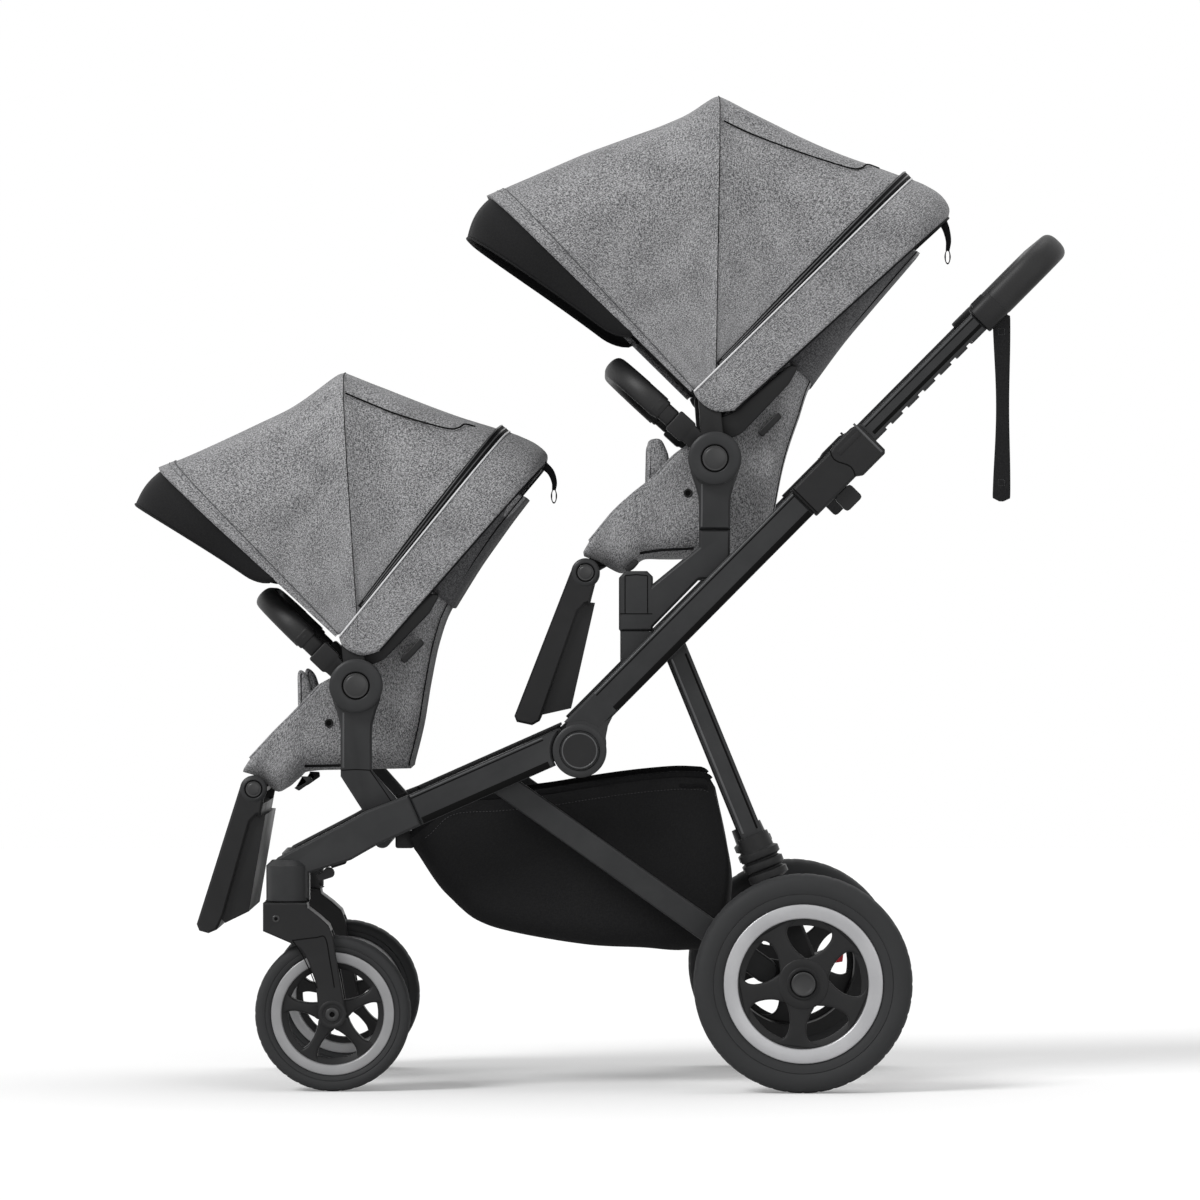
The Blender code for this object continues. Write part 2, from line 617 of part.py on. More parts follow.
LEG_PIVOT = UPPER_AXIS.at(LEG_PIVOT_STATION)
UPPER_MOUNT_X = UPPER_AXIS.at(UPPER_MOUNT_STATION)[0]
bore_half = HANDLE_TUBE_DEPTH / 2 + RUNNING_FIT
bore_half_y = HANDLE_TUBE_WIDTH / 2 + RUNNING_FIT
for side, sign in SIDES:
    mid_y = sign * FRAME_Y
    tube = hinged_tube(f"upper_tube_{side}", UPPER_AXIS, TUBE_TOP_STATION, UPPER_TUBE_DEPTH,
                       UPPER_TUBE_RISE, sign * TUBE_IN, sign * TUBE_OUT,
                       sign * (FRAME_Y + FIT / 2), sign * (TUBE_OUT - FIT), 46.7, 115.2,
                       HINGE_FLARE)
    mount_low = UPPER_AXIS.at(UPPER_MOUNT_STATION)[1] - 0.030
    boss = slab(f"seat_mount_guide_{side}", [
        (UPPER_MOUNT_X - POST_WIDTH / 2 + 0.002, mount_low),
        (UPPER_MOUNT_X + POST_WIDTH / 2 - 0.002, mount_low + 0.030),
        (UPPER_MOUNT_X + POST_WIDTH / 2 - 0.002, POST_FOOT_Z - FIT),
        (UPPER_MOUNT_X - POST_WIDTH / 2 + 0.002, POST_FOOT_Z - FIT),
    ], sign * (TUBE_IN - MOUNT_THICKNESS), sign * (TUBE_IN + 0.001), FRAME_PAINT)
    bore = slab(f"handle_bore_guide_{side}", HANDLE_AXIS.bar(
        HANDLE_FOOT_STATION - HANDLE_TRAVEL - 0.006, TUBE_TOP_STATION + 0.02,
        -bore_half, bore_half), mid_y - bore_half_y, mid_y + bore_half_y, FRAME_PAINT)
    fuse(tube, boss)
    cut(tube, bore)
    carry(fold, tube)

    cap = slab(f"hinge_cap_{side}", circle(HINGE, HINGE_CAP_RADIUS, 28), sign * TUBE_OUT,
               sign * (TUBE_OUT + HINGE_CAP_HEIGHT), BLACK_PLASTIC, 0.001)
    carry(fold, cap)

    sleeve_foot = TUBE_TOP_STATION + FIT
    collar_foot = TUBE_TOP_STATION + SLEEVE_LENGTH
    sleeve_low = UPPER_TUBE_DEPTH / 2 - SLEEVE_DEPTH + 0.003
    collar_low = UPPER_TUBE_DEPTH / 2 - COLLAR_DEPTH + 0.005
    collar_high = UPPER_TUBE_DEPTH / 2 + 0.005
    sleeve = slab(f"clamp_sleeve_{side}", [
        UPPER_AXIS.at(sleeve_foot, sleeve_low), UPPER_AXIS.at(collar_foot, sleeve_low),
        UPPER_AXIS.at(collar_foot + 0.008, collar_low),
        UPPER_AXIS.at(COLLAR_TOP_STATION - COLLAR_EDGE, collar_low),
        UPPER_AXIS.at(COLLAR_TOP_STATION, collar_low + COLLAR_EDGE),
        UPPER_AXIS.at(COLLAR_TOP_STATION, collar_high - COLLAR_EDGE),
        UPPER_AXIS.at(COLLAR_TOP_STATION - 3 * COLLAR_EDGE, collar_high),
        UPPER_AXIS.at(collar_foot + 0.008, collar_high),
        UPPER_AXIS.at(collar_foot, UPPER_TUBE_DEPTH / 2 + 0.003),
        UPPER_AXIS.at(sleeve_foot, UPPER_TUBE_DEPTH / 2 + 0.003),
    ], mid_y - SLEEVE_WIDTH / 2, mid_y + SLEEVE_WIDTH / 2, BLACK_PLASTIC, 0.003)
    passage = slab(f"sleeve_bore_guide_{side}", HANDLE_AXIS.bar(
        sleeve_foot - 0.02, COLLAR_TOP_STATION + 0.02, -bore_half, bore_half),
        mid_y - bore_half_y, mid_y + bore_half_y, BLACK_PLASTIC)
    cut(sleeve, passage)
    carry(fold, sleeve)

    slider_foot = TUBE_TOP_STATION + 0.034
    slider = slab(f"fold_slider_{side}", rounded(UPPER_AXIS.bar(
        slider_foot, slider_foot + FOLD_SLIDER_LENGTH,
        sleeve_low - FIT - FOLD_SLIDER_DEPTH, sleeve_low - FIT), 0.005),
        mid_y - FOLD_SLIDER_WIDTH / 2, mid_y + FOLD_SLIDER_WIDTH / 2, BLACK_PLASTIC)
    slide_at = UPPER_AXIS.at(slider_foot, sleeve_low - FIT)
    carry(pivot(f"fold_slider_guide_{side}", slide_at[0], mid_y, slide_at[1], fold), slider)

# Telescoping handle with its notches, grip, squeeze buttons and wrist strap

handle_at = HANDLE_AXIS.at(HANDLE_FOOT_STATION)
handle = pivot("handle_slide", handle_at[0], 0, handle_at[1], fold)
for side, sign in SIDES:
    mid_y = sign * FRAME_Y
    tube = slab(f"handle_tube_{side}", HANDLE_AXIS.bar(
        HANDLE_FOOT_STATION, HANDLE_TOP_STATION, -HANDLE_TUBE_DEPTH / 2, HANDLE_TUBE_DEPTH / 2),
        mid_y - HANDLE_TUBE_WIDTH / 2, mid_y + HANDLE_TUBE_WIDTH / 2, FRAME_PAINT, 0.003)
    for i in range(HANDLE_NOTCHES):
        station = COLLAR_TOP_STATION + 0.022 + i * HANDLE_TRAVEL / (HANDLE_NOTCHES - 1)
        notch = slab(f"notch_guide_{side}_{i}", HANDLE_AXIS.bar(
            station, station + HANDLE_NOTCH_SIZE, -HANDLE_TUBE_DEPTH / 2 - 0.01,
            -HANDLE_TUBE_DEPTH / 2 + HANDLE_NOTCH_DEPTH),
            mid_y - HANDLE_TUBE_WIDTH, mid_y + HANDLE_TUBE_WIDTH, FRAME_PAINT)
        cut(tube, notch)
    carry(handle, tube)


def squared(share):
    """A sine or cosine drawn out so that an oval gets flatter sides."""
    return math.copysign(abs(share) ** GRIP_SQUARENESS, share)


def plane_sweep(name, path, axis, station, half_across, half_wide, material, sides=14):
    """An oval bar along a path of (ahead, y) points in the plane of a side-view axis and Y."""
    rings = []
    for i, (ahead, y) in enumerate(path):
        before, after = path[max(i - 1, 0)], path[min(i + 1, len(path) - 1)]
        heading = Vector((after[0] - before[0], after[1] - before[1])).normalized()
        ring = []
        for k in range(sides):
            angle = 2 * math.pi * (k + 0.5) / sides
            offset = half_wide * squared(math.cos(angle))
            x, z = axis.at(station + ahead - heading.y * offset,
                           half_across * squared(math.sin(angle)))
            ring.append((x, y + heading.x * offset, z))
        rings.append(ring)
    return loft(name, rings, material)


def u_path(length, half_width, corner, steps=5):
    """A U from one side, round two corners, to the other, as (ahead, y) points."""
    turn = [(length - corner + corner * math.sin(math.radians(90 * i / steps)),
             half_width - corner + corner * math.cos(math.radians(90 * i / steps)))
            for i in range(steps + 1)]
    return ([(0, -half_width)] + [(a, -y) for a, y in turn]
            + [(a, y) for a, y in reversed(turn)] + [(0, half_width)])


grip = plane_sweep("handle_grip", u_path(GRIP_LENGTH, FRAME_Y, GRIP_CORNER), HANDLE_AXIS,
                   HANDLE_TOP_STATION + FIT, GRIP_DEPTH / 2, GRIP_THICKNESS / 2, LEATHERETTE)
button_y = -FRAME_Y
button_at = HANDLE_TOP_STATION + 0.008
button_low = GRIP_DEPTH / 2 - BUTTON_TRAVEL - 0.003
pocket = slab("button_pocket_guide", HANDLE_AXIS.bar(
    button_at - FIT, button_at + BUTTON_LENGTH + FIT,
    button_low - BUTTON_TRAVEL - FIT, GRIP_DEPTH),
    button_y - BUTTON_WIDTH / 2 - FIT, button_y + BUTTON_WIDTH / 2 + FIT, LEATHERETTE)
cut(grip, pocket)
button = slab("handle_button", HANDLE_AXIS.bar(
    button_at, button_at + BUTTON_LENGTH, button_low, GRIP_DEPTH / 2 + BUTTON_PROUD),
    button_y - BUTTON_WIDTH / 2, button_y + BUTTON_WIDTH / 2, BLACK_PLASTIC)
button_home = HANDLE_AXIS.at(button_at, GRIP_DEPTH / 2)
carry(pivot("handle_button_slide", button_home[0], button_y, button_home[1], handle), button)
carry(handle, grip)

strap_from = HANDLE_AXIS.at(HANDLE_TOP_STATION + 0.004, -GRIP_DEPTH / 2 - FIT)
strap_rise = STRAP_WIDTH * math.tan(math.radians(UPPER_TUBE_ANGLE))
strap = slab("wrist_strap", [
    (strap_from[0], strap_from[1] - STRAP_LENGTH),
    (strap_from[0] + STRAP_WIDTH, strap_from[1] - STRAP_LENGTH),
    (strap_from[0] + STRAP_WIDTH, strap_from[1] + strap_rise), strap_from,
], -FRAME_Y - STRAP_THICKNESS / 2, -FRAME_Y + STRAP_THICKNESS / 2, WEBBING)
carry(handle, strap)

# Rear frame: legs on the upper tubes, boots, axle with its lugs, wheels, brake pedal

leg_foot = (REAR_AXLE_X + LEG_FOOT_OFFSET, REAR_WHEEL_RADIUS)
leg_slope = math.degrees(math.atan2(leg_foot[1] - LEG_PIVOT[1], leg_foot[0] - LEG_PIVOT[0]))
LEG_AXIS = Axis(LEG_PIVOT, leg_slope)
LEG_REACH = math.dist(LEG_PIVOT, leg_foot)
LEG_OUT = TUBE_IN - FIT
LEG_IN = LEG_OUT - LEG_THICKNESS
LEG_MID = (LEG_OUT + LEG_IN) / 2
rear_frame = pivot("rear_leg_pivot", LEG_PIVOT[0], 0, LEG_PIVOT[1], fold)
socket_start = BOOT_START + BOOT_LENGTH + FIT
leg_end = socket_start - SUSPENSION_TRAVEL - 0.001
axle_home = pivot("suspension_slide", leg_foot[0], 0, leg_foot[1], rear_frame)
boot_bore = math.hypot(LEG_WIDTH, LEG_THICKNESS) / 2 + RUNNING_FIT


def turned_on(axis, station, y, profile, name, material, steps=20):
    """A closed profile of (radius, station) points turned round a side-view axis."""
    rows = len(profile)
    points = []
    for step in range(steps):
        angle = 2 * math.pi * step / steps
        for radius, ahead in profile:
            x, z = axis.at(station + ahead, radius * math.cos(angle))
            points.append((x, y + radius * math.sin(angle), z))
    faces = []
    for step in range(steps):
        here, there = step * rows, (step + 1) % steps * rows
        for row in range(rows):
            after = (row + 1) % rows
            faces.append((here + row, here + after, there + after, there + row))
    piece = finish_object(name, mesh_from(name, points, faces), material)
    smooth(piece)
    return piece


for side, sign in SIDES:
    leg = slab(f"rear_leg_{side}", LEG_AXIS.bar(0, leg_end, -LEG_WIDTH / 2, LEG_WIDTH / 2),
               sign * LEG_IN, sign * LEG_OUT, FRAME_PAINT, 0.003)
    eye = pin(f"leg_eye_guide_{side}", LEG_PIVOT, LEG_EYE_RADIUS, sign * (LEG_IN - 0.001),
              sign * (LEG_OUT - FIT / 2), FRAME_PAINT, 24)
    fuse(leg, eye)
    carry(rear_frame, leg)

    rib = (BOOT_LENGTH - BOOT_COLLAR) / BOOT_RIBS
    valley = BOOT_RADIUS - BOOT_RIB_DEPTH
    boot_profile = [(boot_bore, 0), (valley - 0.001, 0), (valley, BOOT_COLLAR - 0.002)]
    for i in range(BOOT_RIBS):
        foot = BOOT_COLLAR + i * rib
        boot_profile += [(valley, foot + 0.04 * rib), (BOOT_RADIUS, foot + 0.22 * rib),
                         (BOOT_RADIUS, foot + 0.78 * rib), (valley, foot + 0.96 * rib)]
    boot_profile.append((boot_bore, BOOT_LENGTH))
    boot = turned_on(LEG_AXIS, BOOT_START, sign * LEG_MID, boot_profile,
                     f"suspension_boot_{side}", BLACK_PLASTIC, 18)
    carry(axle_home, boot)

axle = pin("rear_axle", REAR_AXLE, AXLE_TUBE_RADIUS, -LEG_MID, LEG_MID, FRAME_PAINT, 20)
shoulder_end = REAR_WHEEL_Y - REAR_HUB_WIDTH / 2 - FIT
button_floor = REAR_WHEEL_Y + REAR_HUB_WIDTH / 2 - HUB_BUTTON_HEIGHT + 0.0025
socket_in = LEG_IN - 0.003
socket_out = LEG_OUT + 0.004
STRUT_OUT = TUBE_IN - FIT
STRUT_IN = STRUT_OUT - STRUT_THICKNESS
STRUT_FRONT = (STRUT_FRONT_X, STRUT_FRONT_Z)
STRUT_REAR = (STRUT_REAR_X, STRUT_REAR_Z)
lug_out = STRUT_IN - FIT
for side, sign in SIDES:
    socket = slab(f"socket_guide_{side}", LEG_AXIS.bar(
        socket_start, LEG_REACH + 0.010, -SOCKET_WIDTH / 2, SOCKET_WIDTH / 2),
        sign * socket_in, sign * socket_out, BLACK_PLASTIC, 0.004)
    block = pin(f"axle_block_guide_{side}", REAR_AXLE, AXLE_BLOCK_RADIUS,
                sign * (socket_in - 0.001), sign * (socket_out + 0.001), BLACK_PLASTIC, 24)
    shoulder = pin(f"axle_shoulder_guide_{side}", REAR_AXLE, AXLE_SHOULDER_RADIUS,
                   sign * (socket_out - 0.002), sign * shoulder_end, BLACK_PLASTIC)
    stub = pin(f"axle_stub_guide_{side}", REAR_AXLE, REAR_AXLE_RADIUS,
               sign * (shoulder_end - 0.002), sign * (button_floor - 0.001), BLACK_PLASTIC)
    lug = slab(f"strut_lug_guide_{side}", [
        *arc(STRUT_REAR, STRUT_DEPTH / 2, 80, 280, 8),
        (REAR_AXLE_X - 0.004, REAR_WHEEL_RADIUS - 0.020),
        (REAR_AXLE_X + 0.004, REAR_WHEEL_RADIUS + 0.022),
    ], sign * (lug_out - LUG_THICKNESS), sign * lug_out, BLACK_PLASTIC)
    fuse(axle, socket, block, shoulder, stub, lug)

    rim, tyre = wheel("rear", side, REAR_AXLE, sign * REAR_WHEEL_Y, (
        REAR_WHEEL_RADIUS, REAR_TYRE_WIDTH, REAR_RIM_RADIUS, REAR_RIM_DEPTH,
        REAR_RIM_WIDTH, REAR_HUB_RADIUS, REAR_HUB_WIDTH, REAR_AXLE_RADIUS), 47)
    recess = pin(f"button_recess_guide_{side}", REAR_AXLE, HUB_BUTTON_RADIUS + FIT,
                 sign * (button_floor - 0.0005), sign * (REAR_WHEEL_Y + REAR_HUB_WIDTH),
                 RIM_SILVER, 24)
    cut(rim, recess)
    spin = pivot(f"rear_wheel_axle_{side}", REAR_AXLE_X, sign * REAR_WHEEL_Y,
                 REAR_WHEEL_RADIUS, axle_home)
    carry(spin, rim, tyre)
    button = slab(f"hub_button_{side}", circle(REAR_AXLE, HUB_BUTTON_RADIUS, 24),
                  sign * (button_floor + HUB_BUTTON_TRAVEL),
                  sign * (button_floor + HUB_BUTTON_TRAVEL + HUB_BUTTON_HEIGHT - 0.003),
                  BLACK_PLASTIC, 0.0015)
    carry(pivot(f"hub_button_slide_{side}", REAR_AXLE_X, sign * REAR_WHEEL_Y,
                REAR_WHEEL_RADIUS, spin), button)

pedal_pivot = (REAR_AXLE_X + PEDAL_PIVOT_SETBACK, REAR_WHEEL_RADIUS + PEDAL_PIVOT_RISE)
for label, y_ear in (("near", PEDAL_Y - PEDAL_WIDTH / 2 - FIT - PEDAL_EAR),
                     ("far", PEDAL_Y + PEDAL_WIDTH / 2 + FIT)):
    ear = slab(f"pedal_ear_guide_{label}", [
        (REAR_AXLE_X - 0.008, REAR_WHEEL_RADIUS - 0.002),
        (REAR_AXLE_X + 0.008, REAR_WHEEL_RADIUS - 0.008),
        *arc(pedal_pivot, 0.008, -40, 130, 6),
    ], y_ear, y_ear + PEDAL_EAR, BLACK_PLASTIC)
    fuse(axle, ear)
carry(axle_home, axle)
half = PEDAL_THICKNESS / 2
pedal = slab("brake_pedal", [
    *arc(pedal_pivot, half, 100, 280, 6),
    (pedal_pivot[0] + PEDAL_LENGTH, pedal_pivot[1] - half + 0.006),
    (pedal_pivot[0] + PEDAL_LENGTH + 0.002, pedal_pivot[1] + 0.016),
    (pedal_pivot[0] + PEDAL_LENGTH - 0.018, pedal_pivot[1] + half + 0.008),
], PEDAL_Y - PEDAL_WIDTH / 2, PEDAL_Y + PEDAL_WIDTH / 2, RED_PLASTIC)
carry(pivot("brake_pedal_pivot", pedal_pivot[0], PEDAL_Y, pedal_pivot[1], axle_home), pedal)

# Struts between the front tubes and the axle lugs

strut_home = pivot("strut_pivot", STRUT_FRONT_X, 0, STRUT_FRONT_Z, root)
strut_slope = math.degrees(math.atan2(STRUT_REAR_Z - STRUT_FRONT_Z, STRUT_REAR_X - STRUT_FRONT_X))
for side, sign in SIDES:
    strut = slab(f"strut_{side}", [
        *arc(STRUT_FRONT, STRUT_DEPTH / 2, strut_slope + 90, strut_slope + 270, 8),
        *arc(STRUT_REAR, STRUT_DEPTH / 2, strut_slope - 90, strut_slope + 90, 8),
    ], sign * STRUT_IN, sign * STRUT_OUT, FRAME_PAINT, 0.002)
    carry(strut_home, strut)


# Soft shells: curved walls built from hoops, each a U from one side over a crown to the other


def hoop(side, crown, half_width, corner, bulge, skip):
    """Points of a U: up one side, round a corner, over a crown that bulges, and down again.

    The skip leaves out that many points at both ends.
    """
    depth = math.dist(side, crown)
    ahead = ((crown[0] - side[0]) / depth, (crown[1] - side[1]) / depth)
    bend = min(corner, 0.8 * depth, 0.8 * half_width)
    flat = depth - bulge
    half = [(half_width, 0.0), (half_width, 0.3 * (flat - bend))]
    half += [(half_width - bend + bend * math.cos(math.radians(22.5 * i)),
              flat - bend + bend * math.sin(math.radians(22.5 * i))) for i in range(5)]
    row = half + [(0.0, depth)] + [(-y, reach) for y, reach in reversed(half)]
    row = row[skip:len(row) - skip]
    return [(side[0] + reach * ahead[0], y, side[1] + reach * ahead[1]) for y, reach in row]


def shell_of(name, hoops, material, corner, bulge=0.0, skip=0):
    """A wall through hoops of (side, crown, half width, crown wall, side wall)."""
    outer, inner = [], []
    for side, crown, half_width, wall, side_wall in hoops:
        depth = math.dist(side, crown)
        share = (depth - wall) / depth
        pulled = (side[0] + (crown[0] - side[0]) * share, side[1] + (crown[1] - side[1]) * share)
        rise = min(bulge, 0.2 * depth)
        outer.append(hoop(side, crown, half_width, corner, rise, skip))
        inner.append(hoop(side, pulled, half_width - side_wall,
                          max(corner - min(wall, side_wall), 0.004), rise, skip))
    return sheet(name, outer, inner, material)


def bulkhead(name, side, crown, half_width, corner, thickness, material):
    """A flat plate that fills a hoop and closes the end of a shell."""
    depth = math.dist(side, crown)
    normal = ((crown[1] - side[1]) / depth, -(crown[0] - side[0]) / depth)
    front = hoop(side, crown, half_width, corner, 0.0, 0)
    back = [(x + thickness * normal[0], y, z + thickness * normal[1]) for x, y, z in front]
    return loft(name, [front, back], material)


# Basket, hung between the front crossbar and the rear legs

wall = BASKET_WALL
half = BASKET_HALF_WIDTH
basket_hoops = [
    ((-0.258, 0.3575), (-0.259, 0.340), half * 0.92), ((-0.222, 0.380), (-0.234, 0.297), half * 0.96),
    ((-0.179, 0.396), (-0.161, 0.223), half), ((-0.077, 0.409), (-0.049, 0.201), half),
    ((0.030, 0.425), (0.041, 0.188), half), ((0.104, 0.434), (0.126, 0.187), half),
    ((0.140, 0.437), (0.164, 0.250), half), ((0.164, 0.409), (0.185, 0.293), half * 0.97),
]
basket = shell_of("basket", [(*rib, wall, wall) for rib in basket_hoops], BLACK_FABRIC,
                  BASKET_CORNER)
tab = slab("basket_tab_guide", [
    (FRONT_BAR_X + FRONT_BAR_RADIUS + FIT, FRONT_BAR_Z - 0.004), (-0.252, 0.344),
    (-0.252, 0.354), (FRONT_BAR_X + FRONT_BAR_RADIUS + FIT, FRONT_BAR_Z + 0.004),
], -half * 0.8, half * 0.8, BLACK_FABRIC)
nose = bulkhead("basket_nose_guide", *basket_hoops[0][:2], half * 0.92 - wall / 3,
                BASKET_CORNER, -wall, BLACK_FABRIC)
stern = bulkhead("basket_stern_guide", (0.1645, 0.4085), (0.1845, 0.2945), half * 0.97 - wall / 3,
                 BASKET_CORNER, wall, BLACK_FABRIC)
fuse(basket, nose, tab, stern)
carry(root, basket)


class Seat:
    """The sizes of one seat. Points are (ahead, up) from its recline hub, in the side view."""

    def __init__(self, **sizes):
        self.__dict__.update(sizes)

    def point(self, offset):
        """A side-view point from an offset to the hub."""
        return (self.hub[0] + offset[0], self.hub[1] + offset[1])


UPPER_SEAT = Seat(
    hub=(0.158, POST_FOOT_Z + UPPER_SEAT_RISE), half_width=0.165,
    bed=[((-0.174, -0.122), (-0.178, -0.135)), ((-0.136, -0.076), (-0.128, -0.156)),
         ((-0.080, -0.022), (-0.060, -0.142)), ((-0.020, 0.020), (0.020, -0.135)),
         ((0.014, 0.050), (0.075, -0.133)), ((0.036, 0.080), (0.086, -0.062)),
         ((0.060, 0.110), (0.100, 0.004)), ((0.088, 0.140), (0.121, 0.060)),
         ((0.112, 0.166), (0.142, 0.116)), ((0.186, 0.244), (0.222, 0.212)),
         ((0.250, 0.304), (0.284, 0.284))],
    bed_taper=(0.985, 1, 1, 1, 1, 1, 1, 1, 0.99, 0.93, 0.80),
    pivot=(-0.008, 0.090), front_bow=(-0.312, 0.368), top_bow=(0.011, 0.507),
    rear_bow=(0.275, 0.391), rear_hem=(0.328, 0.345), rear_tip=(0.030, 0.062),
    visor_reach=0.066, visor_side=0.025, visor_flare=0.003,
    foot_hub=(-0.178, -0.157), foot_hub_radius=0.020, foot_notch=0.022,
    foot_bar=[(-0.281, -0.362), (-0.244, -0.370), (-0.186, -0.204), (-0.168, -0.196)],
    foot_panel=[(-0.200, -0.196), (-0.165, -0.199), (-0.198, -0.345), (-0.238, -0.354),
                (-0.250, -0.340)],
    bumper_angle=137.6, bumper_socket=(-0.056, 0.054), bumper_length=0.110,
    bracket_radius=0.030)
LOWER_SEAT = Seat(
    hub=(LOWER_MOUNT[0] - LOWER_SEAT_SETBACK, LOWER_MOUNT[1] + LOWER_SEAT_RISE), half_width=0.150,
    bed=[((-0.148, -0.112), (-0.152, -0.124)), ((-0.118, -0.074), (-0.098, -0.142)),
         ((-0.074, -0.024), (-0.060, -0.118)), ((-0.024, 0.016), (0.020, -0.115)),
         ((0.010, 0.040), (0.082, -0.113)), ((0.030, 0.062), (0.092, -0.036)),
         ((0.052, 0.088), (0.102, 0.022)), ((0.076, 0.114), (0.112, 0.070)),
         ((0.100, 0.142), (0.129, 0.117)), ((0.160, 0.218), (0.186, 0.196)),
         ((0.208, 0.274), (0.234, 0.258))],
    bed_taper=(0.985, 1, 1, 1, 1, 1, 1, 1, 0.99, 0.93, 0.80),
    pivot=(-0.007, 0.060), front_bow=(-0.280, 0.300), top_bow=(-0.021, 0.432),
    rear_bow=(0.204, 0.349), rear_hem=(0.257, 0.315), rear_tip=(0.024, 0.034),
    visor_reach=0.058, visor_side=0.022, visor_flare=0.022,
    foot_hub=(-0.144, -0.144), foot_hub_radius=0.019, foot_notch=0.021,
    foot_bar=[(-0.227, -0.338), (-0.199, -0.346), (-0.187, -0.324), (-0.147, -0.182),
              (-0.131, -0.177)],
    foot_panel=[(-0.160, -0.178), (-0.128, -0.180), (-0.151, -0.314), (-0.184, -0.330),
                (-0.194, -0.318)],
    bumper_angle=136.0, bumper_socket=(-0.054, 0.048), bumper_length=0.105,
    bracket_radius=0.029)


def seat_canopy(label, seat, recline, canopy_half, wall):
    """The three-bow canopy: a fixed rear panel, a folding front with its hem, and the visor."""
    home = seat.point(seat.pivot)
    front, top, rear = (seat.point(seat.front_bow), seat.point(seat.top_bow),
                        seat.point(seat.rear_bow))

    def start(tip, inset=0.010):
        span = math.dist(home, tip)
        return (home[0] + (tip[0] - home[0]) * inset / span,
                home[1] + (tip[1] - home[1]) * inset / span)

    def between(a, b, share, bulge):
        middle = (a[0] + (b[0] - a[0]) * share, a[1] + (b[1] - a[1]) * share)
        span = math.dist(home, middle)
        grow = (span + bulge) / span
        return (home[0] + (middle[0] - home[0]) * grow, home[1] + (middle[1] - home[1]) * grow)

    hem = between(front, top, 0.05, 0.001)
    hoops = [(start(front), front, canopy_half, CANOPY_HEM, wall),
             (start(hem), hem, canopy_half, wall, wall)]
    for a, b in ((front, top), (top, rear)):
        middle = between(a, b, 0.5, 0.008)
        hoops.append((start(middle), middle, canopy_half, wall, wall))
        hoops.append((start(b), b, canopy_half, wall, wall))
    folding = shell_of(f"{label}_canopy_front", hoops, GREY_FABRIC, CANOPY_CORNER, CANOPY_BULGE)

    heading = math.atan2(rear[1] - home[1], rear[0] - home[0])
    back = (math.sin(heading), -math.cos(heading))
    edge = (0.0006 * back[0], 0.0006 * back[1])
    tip, hem_top = seat.point(seat.rear_tip), seat.point(seat.rear_hem)
    first_side, first_crown = start(rear), rear
    rear_hoops = []
    for share, bulge in ((0.0, 0.0), (0.5, 0.003), (1.0, 0.0)):
        side_point = (first_side[0] + edge[0] + (tip[0] - first_side[0] - edge[0]) * share,
                      first_side[1] + edge[1] + (tip[1] - first_side[1] - edge[1]) * share)
        crown = (first_crown[0] + edge[0] + (hem_top[0] - first_crown[0] - edge[0]) * share
                 + bulge * math.cos(heading),
                 first_crown[1] + edge[1] + (hem_top[1] - first_crown[1] - edge[1]) * share
                 + bulge * math.sin(heading))
        rear_hoops.append((side_point, crown, canopy_half, wall, wall))
    fixed = shell_of(f"{label}_canopy_rear", rear_hoops, GREY_FABRIC, CANOPY_CORNER, CANOPY_BULGE)
    carry(recline, fixed)

    place = pivot(f"{label}_canopy_pivot", home[0], 0, home[1], recline)
    carry(place, folding)

    bow = math.atan2(front[1] - home[1], front[0] - home[0])
    ahead = (-math.sin(bow), math.cos(bow))
    span = math.dist(home, front) - CANOPY_HEM - VISOR_GAP
    half = canopy_half - wall - VISOR_GAP
    visor_rows = []
    for share in (-0.06, 0.5, 1.0):
        reach_top, reach_side = seat.visor_reach * share, seat.visor_side * share
        foot = (home[0] + 0.010 * math.cos(bow) + reach_side * ahead[0],
                home[1] + 0.010 * math.sin(bow) + reach_side * ahead[1])
        flare = 1 + seat.visor_flare * max(share, 0) ** 2
        crown = (home[0] + span * flare * math.cos(bow) + reach_top * ahead[0],
                 home[1] + span * flare * math.sin(bow) + reach_top * ahead[1])
        visor_rows.append((foot, crown, half, wall, wall))
    visor = shell_of(f"{label}_visor", visor_rows, BLACK_FABRIC,
                     CANOPY_CORNER - wall - VISOR_GAP, CANOPY_BULGE, 1)
    carry(pivot(f"{label}_visor_pivot", home[0], 0, home[1], place), visor)


